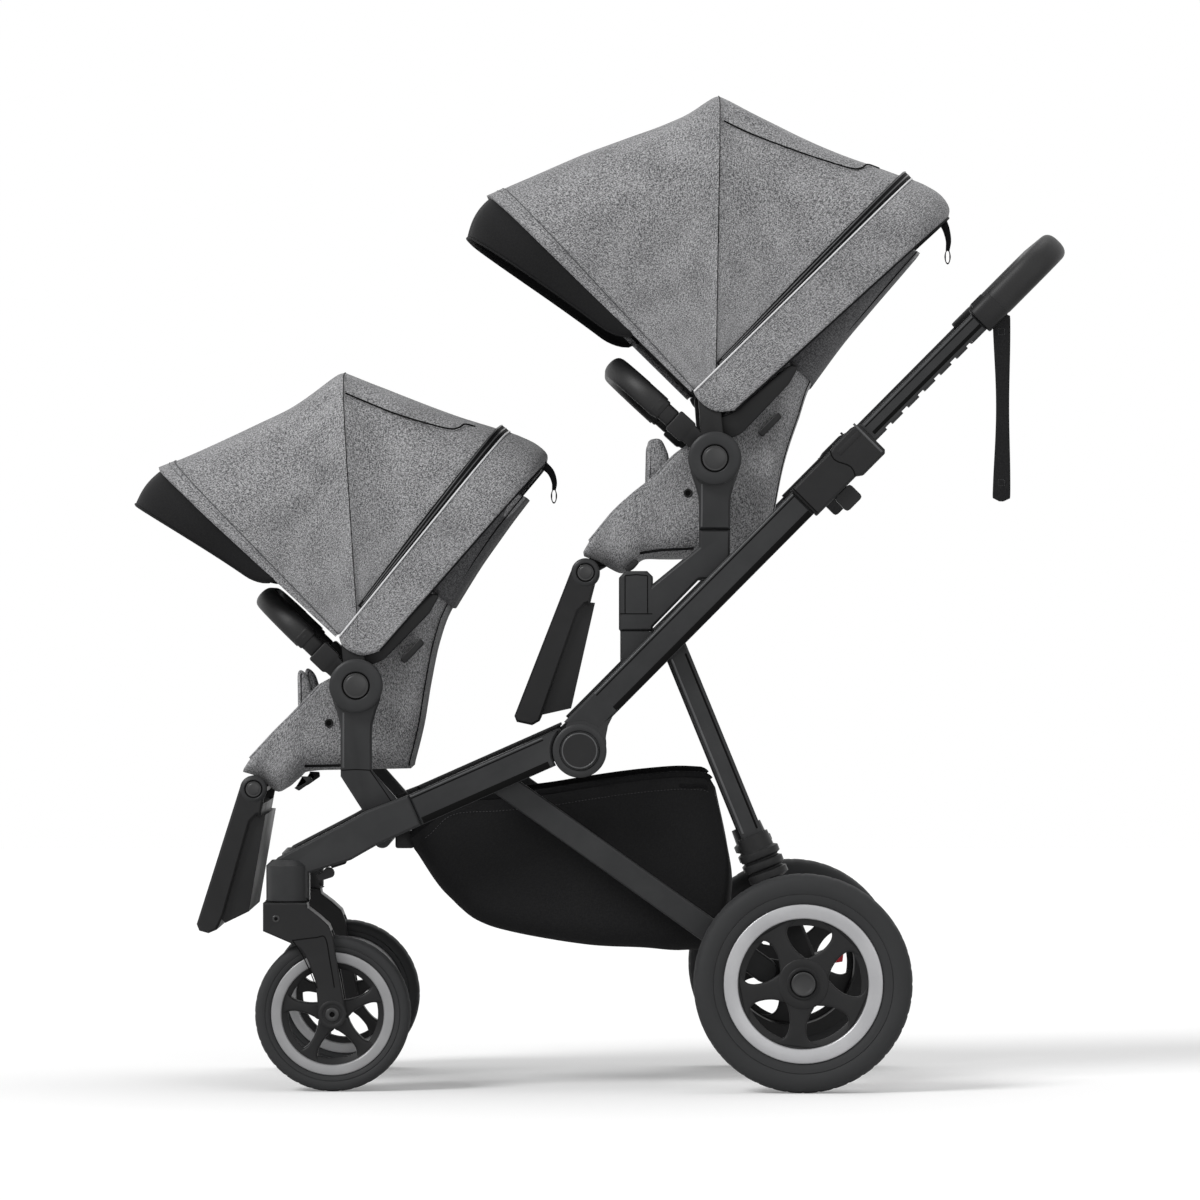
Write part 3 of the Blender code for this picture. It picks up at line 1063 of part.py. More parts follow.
def build_seat(label, seat, outline, arm_in, arm_out, lift_parent):
    """A seat on its arms: hub, bucket, bracket plates, footrest, bumper bar and canopy."""
    hub = seat.hub
    lift_home = pivot(f"{label}_seat_lift", hub[0], 0, hub[1], lift_parent)
    recline = pivot(f"{label}_seat_recline", hub[0], 0, hub[1], lift_home)
    for side, sign in SIDES:
        arm = slab(f"{label}_arm_{side}", outline, sign * arm_in, sign * arm_out,
                   FRAME_PAINT, 0.003)
        disc = slab(f"{label}_hub_guide_{side}", circle(hub, HUB_RADIUS, 28),
                    sign * (arm_in + FIT), sign * (arm_out + HUB_HEIGHT), FRAME_PAINT, 0.002)
        fuse(arm, disc)
        carry(lift_home, arm)

    hoops = [(seat.point(side_at), seat.point(crown), seat.half_width * taper,
              min(SEAT_WALL, math.dist(side_at, crown) * 0.5), SEAT_WALL)
             for (side_at, crown), taper in zip(seat.bed, seat.bed_taper)]
    bed = shell_of(f"{label}_seat_shell", hoops, GREY_FABRIC, SEAT_CORNER)
    home, socket = seat.point(seat.pivot), seat.point(seat.bumper_socket)
    bumper_axis = Axis(socket, seat.bumper_angle)
    for side, sign in SIDES:
        low, high = sign * (seat.half_width - 0.010), sign * (arm_in - BRACKET_GAP)
        plate = pin(f"{label}_bracket_guide_{side}", hub, seat.bracket_radius, low, high,
                    BLACK_PLASTIC, 24)
        stay = slab(f"{label}_stay_guide_{side}", [
            polar(hub, seat.bracket_radius * 0.7, 0), *arc(home, 0.014, 0, 180, 6),
            polar(hub, seat.bracket_radius * 0.7, 180),
        ], low + sign * 0.0004, high - sign * 0.0004, BLACK_PLASTIC)
        holder = slab(f"{label}_socket_guide_{side}", bumper_axis.bar(
            -math.dist(socket, hub) * 0.8, 0, -BUMPER_DEPTH * 0.52, BUMPER_DEPTH * 0.52),
            low + sign * 0.0007, high - sign * 0.0007, BLACK_PLASTIC)
        fuse(plate, stay, holder)
        fuse(bed, plate)
    foot_hub = seat.point(seat.foot_hub)
    foot_bar = pin(f"{label}_foot_bar_guide", foot_hub, FOOT_BAR_RADIUS, -seat.half_width,
                   seat.half_width, BLACK_PLASTIC)
    web = slab(f"{label}_foot_web_guide", [
        (foot_hub[0] - 0.006, foot_hub[1] + 0.003), (foot_hub[0] + 0.008, foot_hub[1] - 0.003),
        (foot_hub[0] + 0.034, foot_hub[1] + 0.012), (foot_hub[0] + 0.006, foot_hub[1] + 0.022),
    ], -seat.half_width * 0.6, seat.half_width * 0.6, BLACK_PLASTIC)
    fuse(bed, foot_bar, web)
    carry(recline, bed)

    bumper_half = seat.half_width + 0.005 + BUMPER_THICKNESS / 2
    bumper = plane_sweep(f"{label}_bumper_bar", u_path(seat.bumper_length, bumper_half, 0.085, 6),
                         bumper_axis, FIT, BUMPER_DEPTH / 2, BUMPER_THICKNESS / 2, LEATHERETTE, 12)
    carry(pivot(f"{label}_bumper_slide", socket[0], 0, socket[1], recline), bumper)

    foot_half = seat.half_width + 0.0155
    corners = [seat.point(corner) for corner in seat.foot_bar]
    radius = seat.foot_hub_radius
    foot = slab(f"{label}_footrest", [
        *arc(foot_hub, radius, 20, 170, 8), *rounded(corners, 0.008, 1)
    ], -foot_half, foot_half, BLACK_PLASTIC, 0.003)
    panel = slab(f"{label}_foot_panel_guide", [seat.point(corner) for corner in seat.foot_panel],
                 -foot_half + FOOT_PANEL_INSET, foot_half - FOOT_PANEL_INSET, BLACK_PLASTIC)
    fuse(foot, panel)
    notch_low = foot_hub[1] - seat.foot_notch
    notch = slab(f"{label}_foot_notch_guide", [
        (foot_hub[0] - 0.06, notch_low), (foot_hub[0] + 0.06, notch_low),
        (foot_hub[0] + 0.06, foot_hub[1] + 0.04), (foot_hub[0] - 0.06, foot_hub[1] + 0.04),
    ], -seat.half_width - FIT, seat.half_width + FIT, BLACK_PLASTIC)
    cut(foot, notch)
    carry(pivot(f"{label}_footrest_pivot", foot_hub[0], 0, foot_hub[1], recline), foot)

    seat_canopy(label, seat, recline, arm_in + 0.003, CANOPY_WALL)
    return lift_home


def neck(hub):
    """The arm's flare into its hub: (across, up) offsets mirrored on both sides of the hub."""
    right = [(hub[0] + across, hub[1] + up) for across, up in ARM_NECK]
    left = [(hub[0] - across, hub[1] + up) for across, up in reversed(ARM_NECK)]
    return right + left


# Upper seat: adapters on the upper tubes, arms on the adapters

ADAPTER_IN = TUBE_IN - MOUNT_THICKNESS - 0.003
ADAPTER_OUT = TUBE_IN - RUNNING_FIT
arm_x = UPPER_SEAT.hub[0]
seam_z = UPPER_SEAT.hub[1] - ARM_SEAM_DROP
elbow_z = UPPER_SEAT.hub[1] - ARM_ELBOW_DROP
upper_home = build_seat("upper", UPPER_SEAT, [
    (arm_x - ARM_WIDTH / 2, seam_z + FIT), (arm_x + ARM_WIDTH / 2, seam_z + FIT),
    *neck(UPPER_SEAT.hub),
], ADAPTER_IN, ADAPTER_OUT, fold)
post_low, post_high = UPPER_MOUNT_X - POST_WIDTH / 2, UPPER_MOUNT_X + POST_WIDTH / 2
post_top = POST_FOOT_Z + POST_HEIGHT
for side, sign in SIDES:
    adapter = slab(f"upper_adapter_{side}", [
        (post_low, POST_FOOT_Z), (post_high, POST_FOOT_Z), (post_high, POST_FOOT_Z + 0.006),
        (arm_x - ARM_WIDTH / 2, elbow_z), (arm_x + ARM_WIDTH / 2, elbow_z),
        (arm_x + ARM_WIDTH / 2, seam_z), (arm_x - ARM_WIDTH / 2, seam_z),
        (arm_x - ARM_WIDTH / 2, elbow_z + BRACE_DEPTH),
        (post_high, POST_FOOT_Z + 0.019 + BRACE_DEPTH), (post_high, post_top - POST_EDGE),
        (post_high - POST_EDGE, post_top), (post_low + POST_EDGE, post_top),
        (post_low, post_top - POST_EDGE),
    ], sign * ADAPTER_IN, sign * ADAPTER_OUT, FRAME_PAINT, 0.003)
    carry(upper_home, adapter)

# Lower seat: arms that stand on mounts on the front legs

LOWER_ARM_OUT = FRAME_Y - FRONT_LEG_WIDTH / 2 - RUNNING_FIT
lower_x, lower_hub_z = LOWER_SEAT.hub
build_seat("lower", LOWER_SEAT, [
    FRONT_AXIS.at(LOWER_MOUNT_STATION - LOWER_MOUNT_LENGTH / 2, LOWER_MOUNT_RISE),
    FRONT_AXIS.at(LOWER_MOUNT_STATION + LOWER_MOUNT_LENGTH / 2, LOWER_MOUNT_RISE),
    (lower_x + ARM_WIDTH / 2, lower_hub_z - LOWER_ARM_BEND), *neck(LOWER_SEAT.hub),
    (lower_x - ARM_WIDTH / 2, lower_hub_z - LOWER_ARM_BEND - 0.008),
], ADAPTER_IN, LOWER_ARM_OUT, root)
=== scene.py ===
import json
import math

import bmesh
import bpy
import numpy as np
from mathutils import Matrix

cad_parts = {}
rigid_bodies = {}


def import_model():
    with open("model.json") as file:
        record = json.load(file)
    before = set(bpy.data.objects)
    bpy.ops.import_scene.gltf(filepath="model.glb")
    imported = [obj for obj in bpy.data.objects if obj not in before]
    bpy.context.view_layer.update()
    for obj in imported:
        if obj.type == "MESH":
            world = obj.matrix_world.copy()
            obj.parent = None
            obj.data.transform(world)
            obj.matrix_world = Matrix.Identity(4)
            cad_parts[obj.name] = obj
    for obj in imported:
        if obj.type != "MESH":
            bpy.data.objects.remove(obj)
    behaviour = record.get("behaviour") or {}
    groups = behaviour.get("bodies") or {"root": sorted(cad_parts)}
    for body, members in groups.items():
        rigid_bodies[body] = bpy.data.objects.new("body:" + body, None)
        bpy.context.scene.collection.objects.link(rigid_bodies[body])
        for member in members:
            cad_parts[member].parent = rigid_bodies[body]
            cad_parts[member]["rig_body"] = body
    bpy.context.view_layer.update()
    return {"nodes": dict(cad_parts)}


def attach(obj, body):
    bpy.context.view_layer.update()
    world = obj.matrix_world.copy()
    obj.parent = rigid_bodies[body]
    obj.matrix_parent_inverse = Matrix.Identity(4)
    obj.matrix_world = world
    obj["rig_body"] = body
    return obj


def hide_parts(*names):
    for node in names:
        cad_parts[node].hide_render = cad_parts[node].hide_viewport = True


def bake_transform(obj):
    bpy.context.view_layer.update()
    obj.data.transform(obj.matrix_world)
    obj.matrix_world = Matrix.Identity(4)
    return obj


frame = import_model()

SIDES = (("left", -1), ("right", 1))

# Studio: the photograph is a level side view from far off, on a white sweep that keeps only a
# soft shadow under the wheels. The floor and sky are white to the camera and in reflections.


def linked(name, data):
    """A new object in the scene."""
    made = bpy.data.objects.new(name, data)
    bpy.context.scene.collection.objects.link(made)
    return made


camera_data = bpy.data.cameras.new("photo_camera")
camera_data.sensor_width = 36
camera_data.lens = 208
camera = linked("photo_camera", camera_data)
camera.location = (0, -9.77, 0.675)
camera.rotation_euler = (math.radians(90), 0, 0)
bpy.context.scene.camera = camera
bpy.context.scene.view_settings.view_transform = "Standard"


def studio_lamp(name, towards, spread, strength):
    """Even light from one direction, softened over a spread in degrees."""
    data = bpy.data.lights.new(name, "SUN")
    data.angle = math.radians(spread)
    data.energy = strength
    lamp = linked(name, data)
    x, y, z = towards
    lamp.rotation_euler = (math.atan2(math.hypot(x, y), z), 0, math.atan2(y, x) + math.pi / 2)


studio_lamp("key_lamp", (-0.58, -0.48, 0.66), 20, 1.75)
studio_lamp("fill_lamp", (0.40, -0.88, 0.26), 50, 0.38)
studio_lamp("top_lamp", (0.12, 0.20, 0.97), 40, 0.80)

world = bpy.data.worlds.new("white_room")
world.use_nodes = True
bpy.context.scene.world = world
sky = world.node_tree
back = sky.nodes["Background"]
back.inputs["Color"].default_value = (1, 1, 1, 1)
seen = sky.nodes.new("ShaderNodeLightPath")
brightest = None
for ray_kind in ("Is Camera Ray", "Is Glossy Ray", "Is Transmission Ray"):
    either = sky.nodes.new("ShaderNodeMath")
    either.operation = "MAXIMUM"
    sky.links.new(seen.outputs[ray_kind], either.inputs[0])
    if brightest:
        sky.links.new(brightest, either.inputs[1])
    else:
        either.inputs[1].default_value = 0
    brightest = either.outputs[0]
level = sky.nodes.new("ShaderNodeMapRange")
level.inputs["To Min"].default_value = 0.37
level.inputs["To Max"].default_value = 1.0
sky.links.new(brightest, level.inputs["Value"])
sky.links.new(level.outputs["Result"], back.inputs["Strength"])

floor_mesh = bpy.data.meshes.new("studio_floor")
floor_mesh.from_pydata([(-9, -9, 0), (9, -9, 0), (9, 9, 0), (-9, 9, 0)], [], [(0, 1, 2, 3)])
floor = linked("studio_floor", floor_mesh)
floor_paint = bpy.data.materials.new("studio_white")
floor_paint.use_nodes = True
tree = floor_paint.node_tree
tree.nodes.remove(tree.nodes["Principled BSDF"])
matte = tree.nodes.new("ShaderNodeBsdfDiffuse")
matte.inputs["Color"].default_value = (0.84, 0.84, 0.84, 1)
glow = tree.nodes.new("ShaderNodeEmission")
glow.inputs["Color"].default_value = (1, 1, 1, 1)
ray = tree.nodes.new("ShaderNodeLightPath")
lift = tree.nodes.new("ShaderNodeMath")
lift.operation = "MULTIPLY"
lift.inputs[1].default_value = 0.20
tree.links.new(ray.outputs["Is Camera Ray"], lift.inputs[0])
tree.links.new(lift.outputs[0], glow.inputs["Strength"])
both = tree.nodes.new("ShaderNodeAddShader")
tree.links.new(matte.outputs[0], both.inputs[0])
tree.links.new(glow.outputs[0], both.inputs[1])
tree.links.new(both.outputs[0], tree.nodes["Material Output"].inputs["Surface"])
floor.data.materials.append(floor_paint)

# Frame tubes and castings: extruded and cast aluminium with a satin anthracite coat, and moulded
# black joints. The CAD solids are kept, with whole flat faces and small rounded edges.


def effect_group(name, inputs, outputs):
    """An empty shader group with named sockets, and its input and output nodes."""
    group = bpy.data.node_groups.new(name, "ShaderNodeTree")
    for label, kind, value in inputs:
        socket = group.interface.new_socket(label, in_out="INPUT", socket_type=kind)
        if value is not None:
            socket.default_value = value
    for label, kind in outputs:
        group.interface.new_socket(label, in_out="OUTPUT", socket_type=kind)
    return (group, group.nodes.new("NodeGroupInput"), group.nodes.new("NodeGroupOutput"))


def wire(tree, target, links):
    """Links a node's inputs, by name or number, from other sockets."""
    for socket, source in links:
        tree.links.new(source, target.inputs[socket])


def node(tree, kind, links=(), **values):
    """A node in a tree, with plain socket values by name and links from other sockets."""
    made = tree.nodes.new(kind)
    for label, value in values.items():
        label = label.replace("_", " ")
        if label in made.inputs:
            made.inputs[label].default_value = value
        else:
            setattr(made, label.replace(" ", "_"), value)
    wire(tree, made, links)
    return made


def new_finish(name, **values):
    """A new material, its tree and its main shader, with plain socket values by name."""
    finish = bpy.data.materials.new(name)
    finish.use_nodes = True
    shader = finish.node_tree.nodes["Principled BSDF"]
    for label, value in values.items():
        shader.inputs[label.replace("_", " ")].default_value = value
    return finish, finish.node_tree, shader


grain_group, enter, leave = effect_group("moulded_grain", [
    ("Colour", "NodeSocketColor", (0.05, 0.05, 0.05, 1)),
    ("Rubbed", "NodeSocketColor", (0.1, 0.1, 0.1, 1)), ("Grain", "NodeSocketFloat", 900.0),
    ("Depth", "NodeSocketFloat", 0.1), ("Smooth", "NodeSocketFloat", 0.35),
    ("Rough", "NodeSocketFloat", 0.5)],
    [("Color", "NodeSocketColor"), ("Roughness", "NodeSocketFloat"), ("Normal", "NodeSocketVector")])
place = node(grain_group, "ShaderNodeTexCoord")
pits = node(grain_group, "ShaderNodeTexNoise", [("Vector", place.outputs["Object"]),
                                                ("Scale", enter.outputs["Grain"])], Detail=2.0)
hands = node(grain_group, "ShaderNodeTexNoise", [("Vector", place.outputs["Object"])],
             Scale=14.0, Detail=4.0, Roughness=0.6)
worn = node(grain_group, "ShaderNodeMapRange", [("Value", hands.outputs["Fac"])],
            From_Min=0.42, From_Max=0.75)
tint = node(grain_group, "ShaderNodeMix", [
    (0, worn.outputs["Result"]), (6, enter.outputs["Colour"]), (7, enter.outputs["Rubbed"])],
    data_type="RGBA")
sheen_range = node(grain_group, "ShaderNodeMapRange", [
    ("Value", hands.outputs["Fac"]), ("To Min", enter.outputs["Smooth"]),
    ("To Max", enter.outputs["Rough"])], From_Min=0.3, From_Max=0.7)
bumps = node(grain_group, "ShaderNodeBump", [("Height", pits.outputs["Fac"]),
                                             ("Strength", enter.outputs["Depth"])], Distance=0.0003)
wire(grain_group, leave, [("Color", tint.outputs[2]), ("Roughness", sheen_range.outputs["Result"]),
                          ("Normal", bumps.outputs["Normal"])])


def moulded(name, colour, rubbed, smooth, rough, metallic=0.0, grain=900.0, depth=0.12, gloss=0.20):
    """A coated metal or moulded plastic: two close tones, a grain, and a roughness that wanders."""
    finish, tree, shader = new_finish(name, Metallic=metallic, Specular_IOR_Level=gloss)
    skin = node(tree, "ShaderNodeGroup", node_tree=grain_group, Colour=(*colour, 1), Rubbed=(*rubbed, 1),
                Grain=grain, Depth=depth, Smooth=smooth, Rough=rough)
    wire(tree, shader, [("Base Color", skin.outputs["Color"]), ("Roughness", skin.outputs["Roughness"]),
                        ("Normal", skin.outputs["Normal"])])
    return finish


FLAT_ANGLE = math.radians(1.2)
EDGE_ANGLE = math.radians(34)


def finished(finish, slot, edge, *names):
    """CAD solids with their facets joined to whole flat faces and their edges rounded."""
    for name in names:
        source = frame["nodes"][name]
        work = bmesh.new()
        work.from_mesh(source.data)
        bmesh.ops.remove_doubles(work, verts=work.verts, dist=1e-5)
        bmesh.ops.dissolve_limit(work, angle_limit=FLAT_ANGLE, verts=work.verts, edges=work.edges)
        mesh = bpy.data.meshes.new(f"{name}_finished")
        work.to_mesh(mesh)
        work.free()
        mesh.materials.append(finish)
        mesh.shade_smooth()
        mesh.set_sharp_from_angle(angle=EDGE_ANGLE)
        piece = linked(f"{name}_finished", mesh)
        rounding = piece.modifiers.new("rounded_edges", "BEVEL")
        rounding.width, rounding.segments = edge, 2
        rounding.limit_method, rounding.angle_limit = "ANGLE", EDGE_ANGLE
        rounding.harden_normals = True
        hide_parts(name)
        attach(piece, source["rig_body"])


anthracite = moulded("satin_anthracite", (0.0270, 0.0275, 0.0285), (0.036, 0.0365, 0.0375), 0.34, 0.46,
                     metallic=0.12)
# A lighter grey painted highlight, laid as thin strips on tube edges, lips, spines and rings where they catch
# the light.
painted_highlight_grey = moulded("painted_highlight_lip", (0.075, 0.076, 0.078), (0.10, 0.101, 0.103), 0.30, 0.40, metallic=0.35)
black_plastic = moulded("black_moulded_plastic", (0.0135, 0.0135, 0.0140), (0.0190, 0.0190, 0.0195),
                        0.38, 0.52)
gap_and_shade_black = moulded("shadow_gap", (0.0018, 0.0018, 0.0018), (0.003, 0.003, 0.003), 0.75, 0.85, gloss=0.1)
for side, sign in SIDES:
    finished(anthracite, "frame_paint", 0.0012, f"front_tube_{side}", f"upper_tube_{side}",
             f"handle_tube_{side}", f"rear_leg_{side}", f"strut_{side}")
    finished(anthracite, "frame_paint", 0.0010, f"front_leg_{side}", f"upper_arm_{side}",
             f"upper_adapter_{side}", f"lower_arm_{side}")
    finished(black_plastic, "black_plastic", 0.0010, f"clamp_sleeve_{side}", f"fold_slider_{side}",
             f"caster_fork_{side}", f"caster_lock_{side}")
    finished(black_plastic, "black_plastic", 0.0006, f"hinge_cap_{side}", f"suspension_boot_{side}")
finished(anthracite, "frame_paint", 0.0008, "front_crossbar", "hinge_crossbar")
finished(black_plastic, "black_plastic", 0.0008, "rear_axle", "handle_button")


def surface(name, grid, finish, wrap=False, loop=False, caps=None):
    """A quad mesh over rows and columns of points. wrap joins the last column to the first, loop
    the last row to the first. caps closes the end rows, with a "fan" to their middle or "flat".
    UVs are metres along both ways, and the faces are turned away from the piece's middle."""
    grid = np.asarray(grid, float)
    rows, columns = grid.shape[:2]
    r, c = np.meshgrid(np.arange(rows if loop else rows - 1),
                       np.arange(columns if wrap else columns - 1), indexing="ij")
    r, c = r.ravel(), c.ravel()
    corners = np.stack([r, r, r + 1, r + 1], 1), np.stack([c, c + 1, c + 1, c], 1)
    quads = (corners[0] % rows) * columns + corners[1] % columns
    points = grid.reshape(-1, 3)
    closed = np.concatenate([grid, grid[:, :1]], 1)
    across = np.concatenate([[0], np.cumsum(np.linalg.norm(np.diff(closed, axis=1), axis=2).mean(0))])
    ringed = np.concatenate([grid, grid[:1]], 0)
    along = np.concatenate([[0], np.cumsum(np.linalg.norm(np.diff(ringed, axis=0), axis=2).mean(1))])
    uv = np.stack([across[corners[1]], along[corners[0]]], -1).reshape(-1, 2)
    faces = quads.tolist()
    if caps:
        for row in (0, rows - 1):
            ring = row * columns + np.arange(columns)
            if caps == "flat":
                end = ring[None] if row else ring[None, ::-1]
            else:
                points = np.vstack([points, grid[row].mean(0)])
                end = np.stack([ring, np.roll(ring, -1), np.full(columns, len(points) - 1)], 1)
                end = end if row else end[:, ::-1]
            faces += end.tolist()
            uv = np.vstack([uv, points[end.ravel()][:, [0, 2]]])
    mesh = bpy.data.meshes.new(name)
    mesh.from_pydata(points.tolist(), [], faces)
    layer = mesh.uv_layers.new(name="cloth")
    layer.data.foreach_set("uv", uv.ravel())
    p = points[quads]
    normal = np.cross(p[:, 2] - p[:, 0], p[:, 3] - p[:, 1])
    if (normal * (p.mean(1) - points.mean(0))).sum() < 0:
        mesh.flip_normals()
    mesh.shade_smooth()
    mesh.set_sharp_from_angle(angle=math.radians(50))
    mesh.materials.append(finish)
    return linked(name, mesh)


def placed(piece, body):
    """Puts a new piece on its CAD body."""
    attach(piece, body)
    return piece


def unit(vectors, spare=0.0):
    """Vectors brought to length one; spare keeps one of no length from dividing by nothing."""
    return vectors / (np.linalg.norm(vectors, axis=-1, keepdims=True) + spare)


def run_along(line):
    """The distance from the start of a line to each of its points."""
    return np.concatenate([[0], np.cumsum(np.linalg.norm(np.diff(line, axis=0), axis=1))])


def evenly(line, count, endpoint=True):
    """Both coordinates of a 2-D line at evenly spaced distances along it."""
    length = run_along(line)
    even = np.linspace(0, length[-1], count, endpoint=endpoint)
    return np.interp(even, length, line[:, 0]), np.interp(even, length, line[:, 1])


def with_mirror(line):
    """Half a U, as (y, height) points, and its mirror image after the shared last point."""
    return np.vstack([line, np.stack([-line[-2::-1, 0], line[-2::-1, 1]], -1)])


def at_depth(outline, y):
    """Side-view points (x, z) as 3-D points at a depth y, which may differ from point to point."""
    outline = np.asarray(outline, float)
    return np.stack([outline[:, 0], y + 0 * outline[:, 0], outline[:, 1]], -1)


def sweep(path, section, up):
    """A closed section of (side, up) points carried along a path; up gives the section's top."""
    path = np.asarray(path, float)
    up = np.broadcast_to(np.asarray(up, float), path.shape)
    ahead = unit(np.gradient(path, axis=0))
    side = unit(np.cross(ahead, up))
    top = np.cross(side, ahead)
    section = np.asarray(section, float)
    if section.ndim == 2:
        section = np.broadcast_to(section, (len(path),) + section.shape)
    return path[:, None] + section[..., :1] * side[:, None] + section[..., 1:] * top[:, None]


def oval(half_wide, half_high, count=12, power=1.0):
    """A closed ring of points; a power under 1 squares its shoulders."""
    t = 2 * np.pi * (np.arange(count) + 0.5) / count
    return np.stack([half_wide * np.sign(np.cos(t)) * np.abs(np.cos(t)) ** power,
                     half_high * np.sign(np.sin(t)) * np.abs(np.sin(t)) ** power], -1)


def swept(name, path, section, up, finish):
    """A piece with closed ends: a section carried along a path."""
    return surface(name, sweep(path, section, up), finish, wrap=True, caps="fan")


def strip(name, path, half_wide, half_high, up, finish, body, power=0.8, count=10):
    """A thin rounded strip, tape or line along a path."""
    return placed(swept(name, path, oval(half_wide, half_high, count, power), up, finish), body)


def side_axis(origin, degrees, rise=0.0):
    """A line in the side view. Gives (x, z) for a distance along it and a height over it."""
    c, s = math.cos(math.radians(degrees)), math.sin(math.radians(degrees))
    x, z = origin[0] - rise * s, origin[1] + rise * c
    return lambda along, high=0.0: (x + along * c - high * s, z + along * s + high * c)


def line_path(axis, stations, high, y):
    """3-D points at stations along a side-view axis, at a height over it and a distance aside."""
    stations = np.asarray(stations, float)
    x, z = axis(stations, np.asarray(high, float) + 0 * stations)
    return np.stack([x, y + 0 * stations, z], -1)


HINGE = (-0.028, 0.468)
FRONT_AXIS = side_axis(HINGE, 23.9, 0.017)
UPPER_ANGLE = 45.2
UPPER_AXIS = side_axis(HINGE, UPPER_ANGLE, 0.022)
HANDLE_AXIS = side_axis(HINGE, UPPER_ANGLE, 0.026)
LEG_AXIS = side_axis((0.0973, 0.6254), math.degrees(math.atan2(0.150 - 0.6254, 0.292 - 0.0973)))
TUBE_FACE, HANDLE_FACE, LEG_FACE = 0.250, 0.246, 0.2197
# Each tube face gets a lip strip in lighter grey, a painted highlight on its upper chamfer, and a thin dark
# groove below it.
for side, sign in SIDES:
    for label, axis, start, end, half, face, lip, body in (
            ("front_tube", FRONT_AXIS, -0.238, -0.040, 0.0225, TUBE_FACE, 0.0008, "front_frame"),
            ("upper_tube", UPPER_AXIS, 0.070, 0.456, 0.0210, TUBE_FACE, 0.0008, "upper_frame"),
            ("handle_tube", HANDLE_AXIS, 0.592, 0.803, 0.0150, HANDLE_FACE, 0.0003, "handle")):
        y = sign * face
        stations = (start, (start + end) / 2, end)
        strip(f"{label}_lip_{side}", line_path(axis, stations, half - 0.0030, y), 0.0012, lip,
              (0, sign, 0), painted_highlight_grey, body)
        strip(f"{label}_groove_{side}", line_path(axis, stations, half - 0.0058, y), 0.0009, 0.0003,
              (0, sign, 0), gap_and_shade_black, body)
    # Wide dark strips along the lower edges of the upper and front tubes are painted shade on their
    # undersides. The rear leg's lip is lighter grey, a painted highlight. The groove and track are thin dark
    # lines, and the same black also fills real joint lines elsewhere.
    for label, axis, stations, high, face, wide, tall, body in (
            ("upper_tube_glide", UPPER_AXIS, (0.075, 0.26, 0.455), -0.0160, TUBE_FACE, 0.0042, 0.0009,
             "upper_frame"),
            ("front_tube_glide", FRONT_AXIS, (-0.236, -0.13, -0.046), -0.0172, TUBE_FACE, 0.0045, 0.0009,
             "front_frame"),
            ("rear_leg_lip", LEG_AXIS, (0.030, 0.16, 0.290), -0.0110, LEG_FACE, 0.0016, 0.0008,
             "rear_frame"),
            ("rear_leg_groove", LEG_AXIS, (0.030, 0.16, 0.290), 0.0098, LEG_FACE, 0.0014, 0.0004,
             "rear_frame"),
            ("handle_tube_track", HANDLE_AXIS, (0.594, 0.70, 0.803), -0.0050, HANDLE_FACE, 0.0026, 0.0003,
             "handle")):
        look, slot, squareness = gap_and_shade_black, "black_plastic", 0.4
        if label == "rear_leg_lip":
            look, slot, squareness = painted_highlight_grey, "frame_paint", 0.8
        strip(f"{label}_{side}", line_path(axis, stations, high, sign * face), wide, tall, (0, sign, 0),
              look, body, squareness)

# Joint faces: the fold hinge and the recline hubs are turned discs with a bevelled ring, a dark
# gap and a pressed-in button. The footrest pivots are smaller ones of the same make.


def lathe(centre, face, sign, profile, steps):
    """Rings round an axis along Y: a profile of (radius, height outwards from the face)."""
    profile = np.asarray(profile, float)
    angle = 2 * np.pi * np.arange(steps)[None] / steps
    radius, y = profile[:, 0][:, None], face + sign * profile[:, 1][:, None]
    return np.stack([centre[0] + radius * np.cos(angle), y + 0 * angle,
                     centre[1] + radius * np.sin(angle)], -1)


def turned(name, centre, face, sign, profile, finish, body, ring=False, steps=56):
    """A lathe-turned piece. A ring's profile is closed on itself, a disc's runs from pole to pole."""
    return placed(surface(name, lathe(centre, face, sign, profile, steps), finish, wrap=True, loop=ring,
                          caps=None if ring else "fan"), body)


def arc_points(cx, cy, rx, ry, start, end, count):
    """Points on part of an ellipse, from one angle to another in degrees."""
    t = np.radians(np.linspace(start, end, count))
    return np.stack([cx + rx * np.cos(t), cy + ry * np.sin(t)], -1)


def joint_face(label, side, sign, centre, face, outer, inner, button, dome, body):
    """A raised ring from an inner to an outer radius, a dark floor, and a domed button in it."""
    turned(f"{label}_ring_{side}", centre, face, sign, [
        (inner, -0.0012), (outer + 0.0003, -0.0035), (outer + 0.0003, -0.0010), (outer - 0.0006, 0.0002),
        (outer - 0.0050, 0.0016), (inner + 0.0014, 0.0016), (inner + 0.0004, 0.0012), (inner, 0.0003)],
        anthracite, body, ring=True, steps=72)
    turned(f"{label}_gap_{side}", centre, face, sign, [(0.002, -0.0005), (inner + 0.0004, -0.0005),
           (inner + 0.0004, 0.00035), (0.002, 0.00035)], gap_and_shade_black, body)
    turned(f"{label}_button_{side}", centre, face, sign, np.vstack([
        [(0.002, 0.0002), (button, 0.0002), (button, 0.0016)],
        arc_points(button - 0.0008, 0.0016, 0.0008, 0.0008, 0, 90, 4), [(button - 0.0020, 0.0019)],
        arc_points(0.0, 0.0017, button - 0.0024, dome, 8, 86, 8)]), button_grey, body)


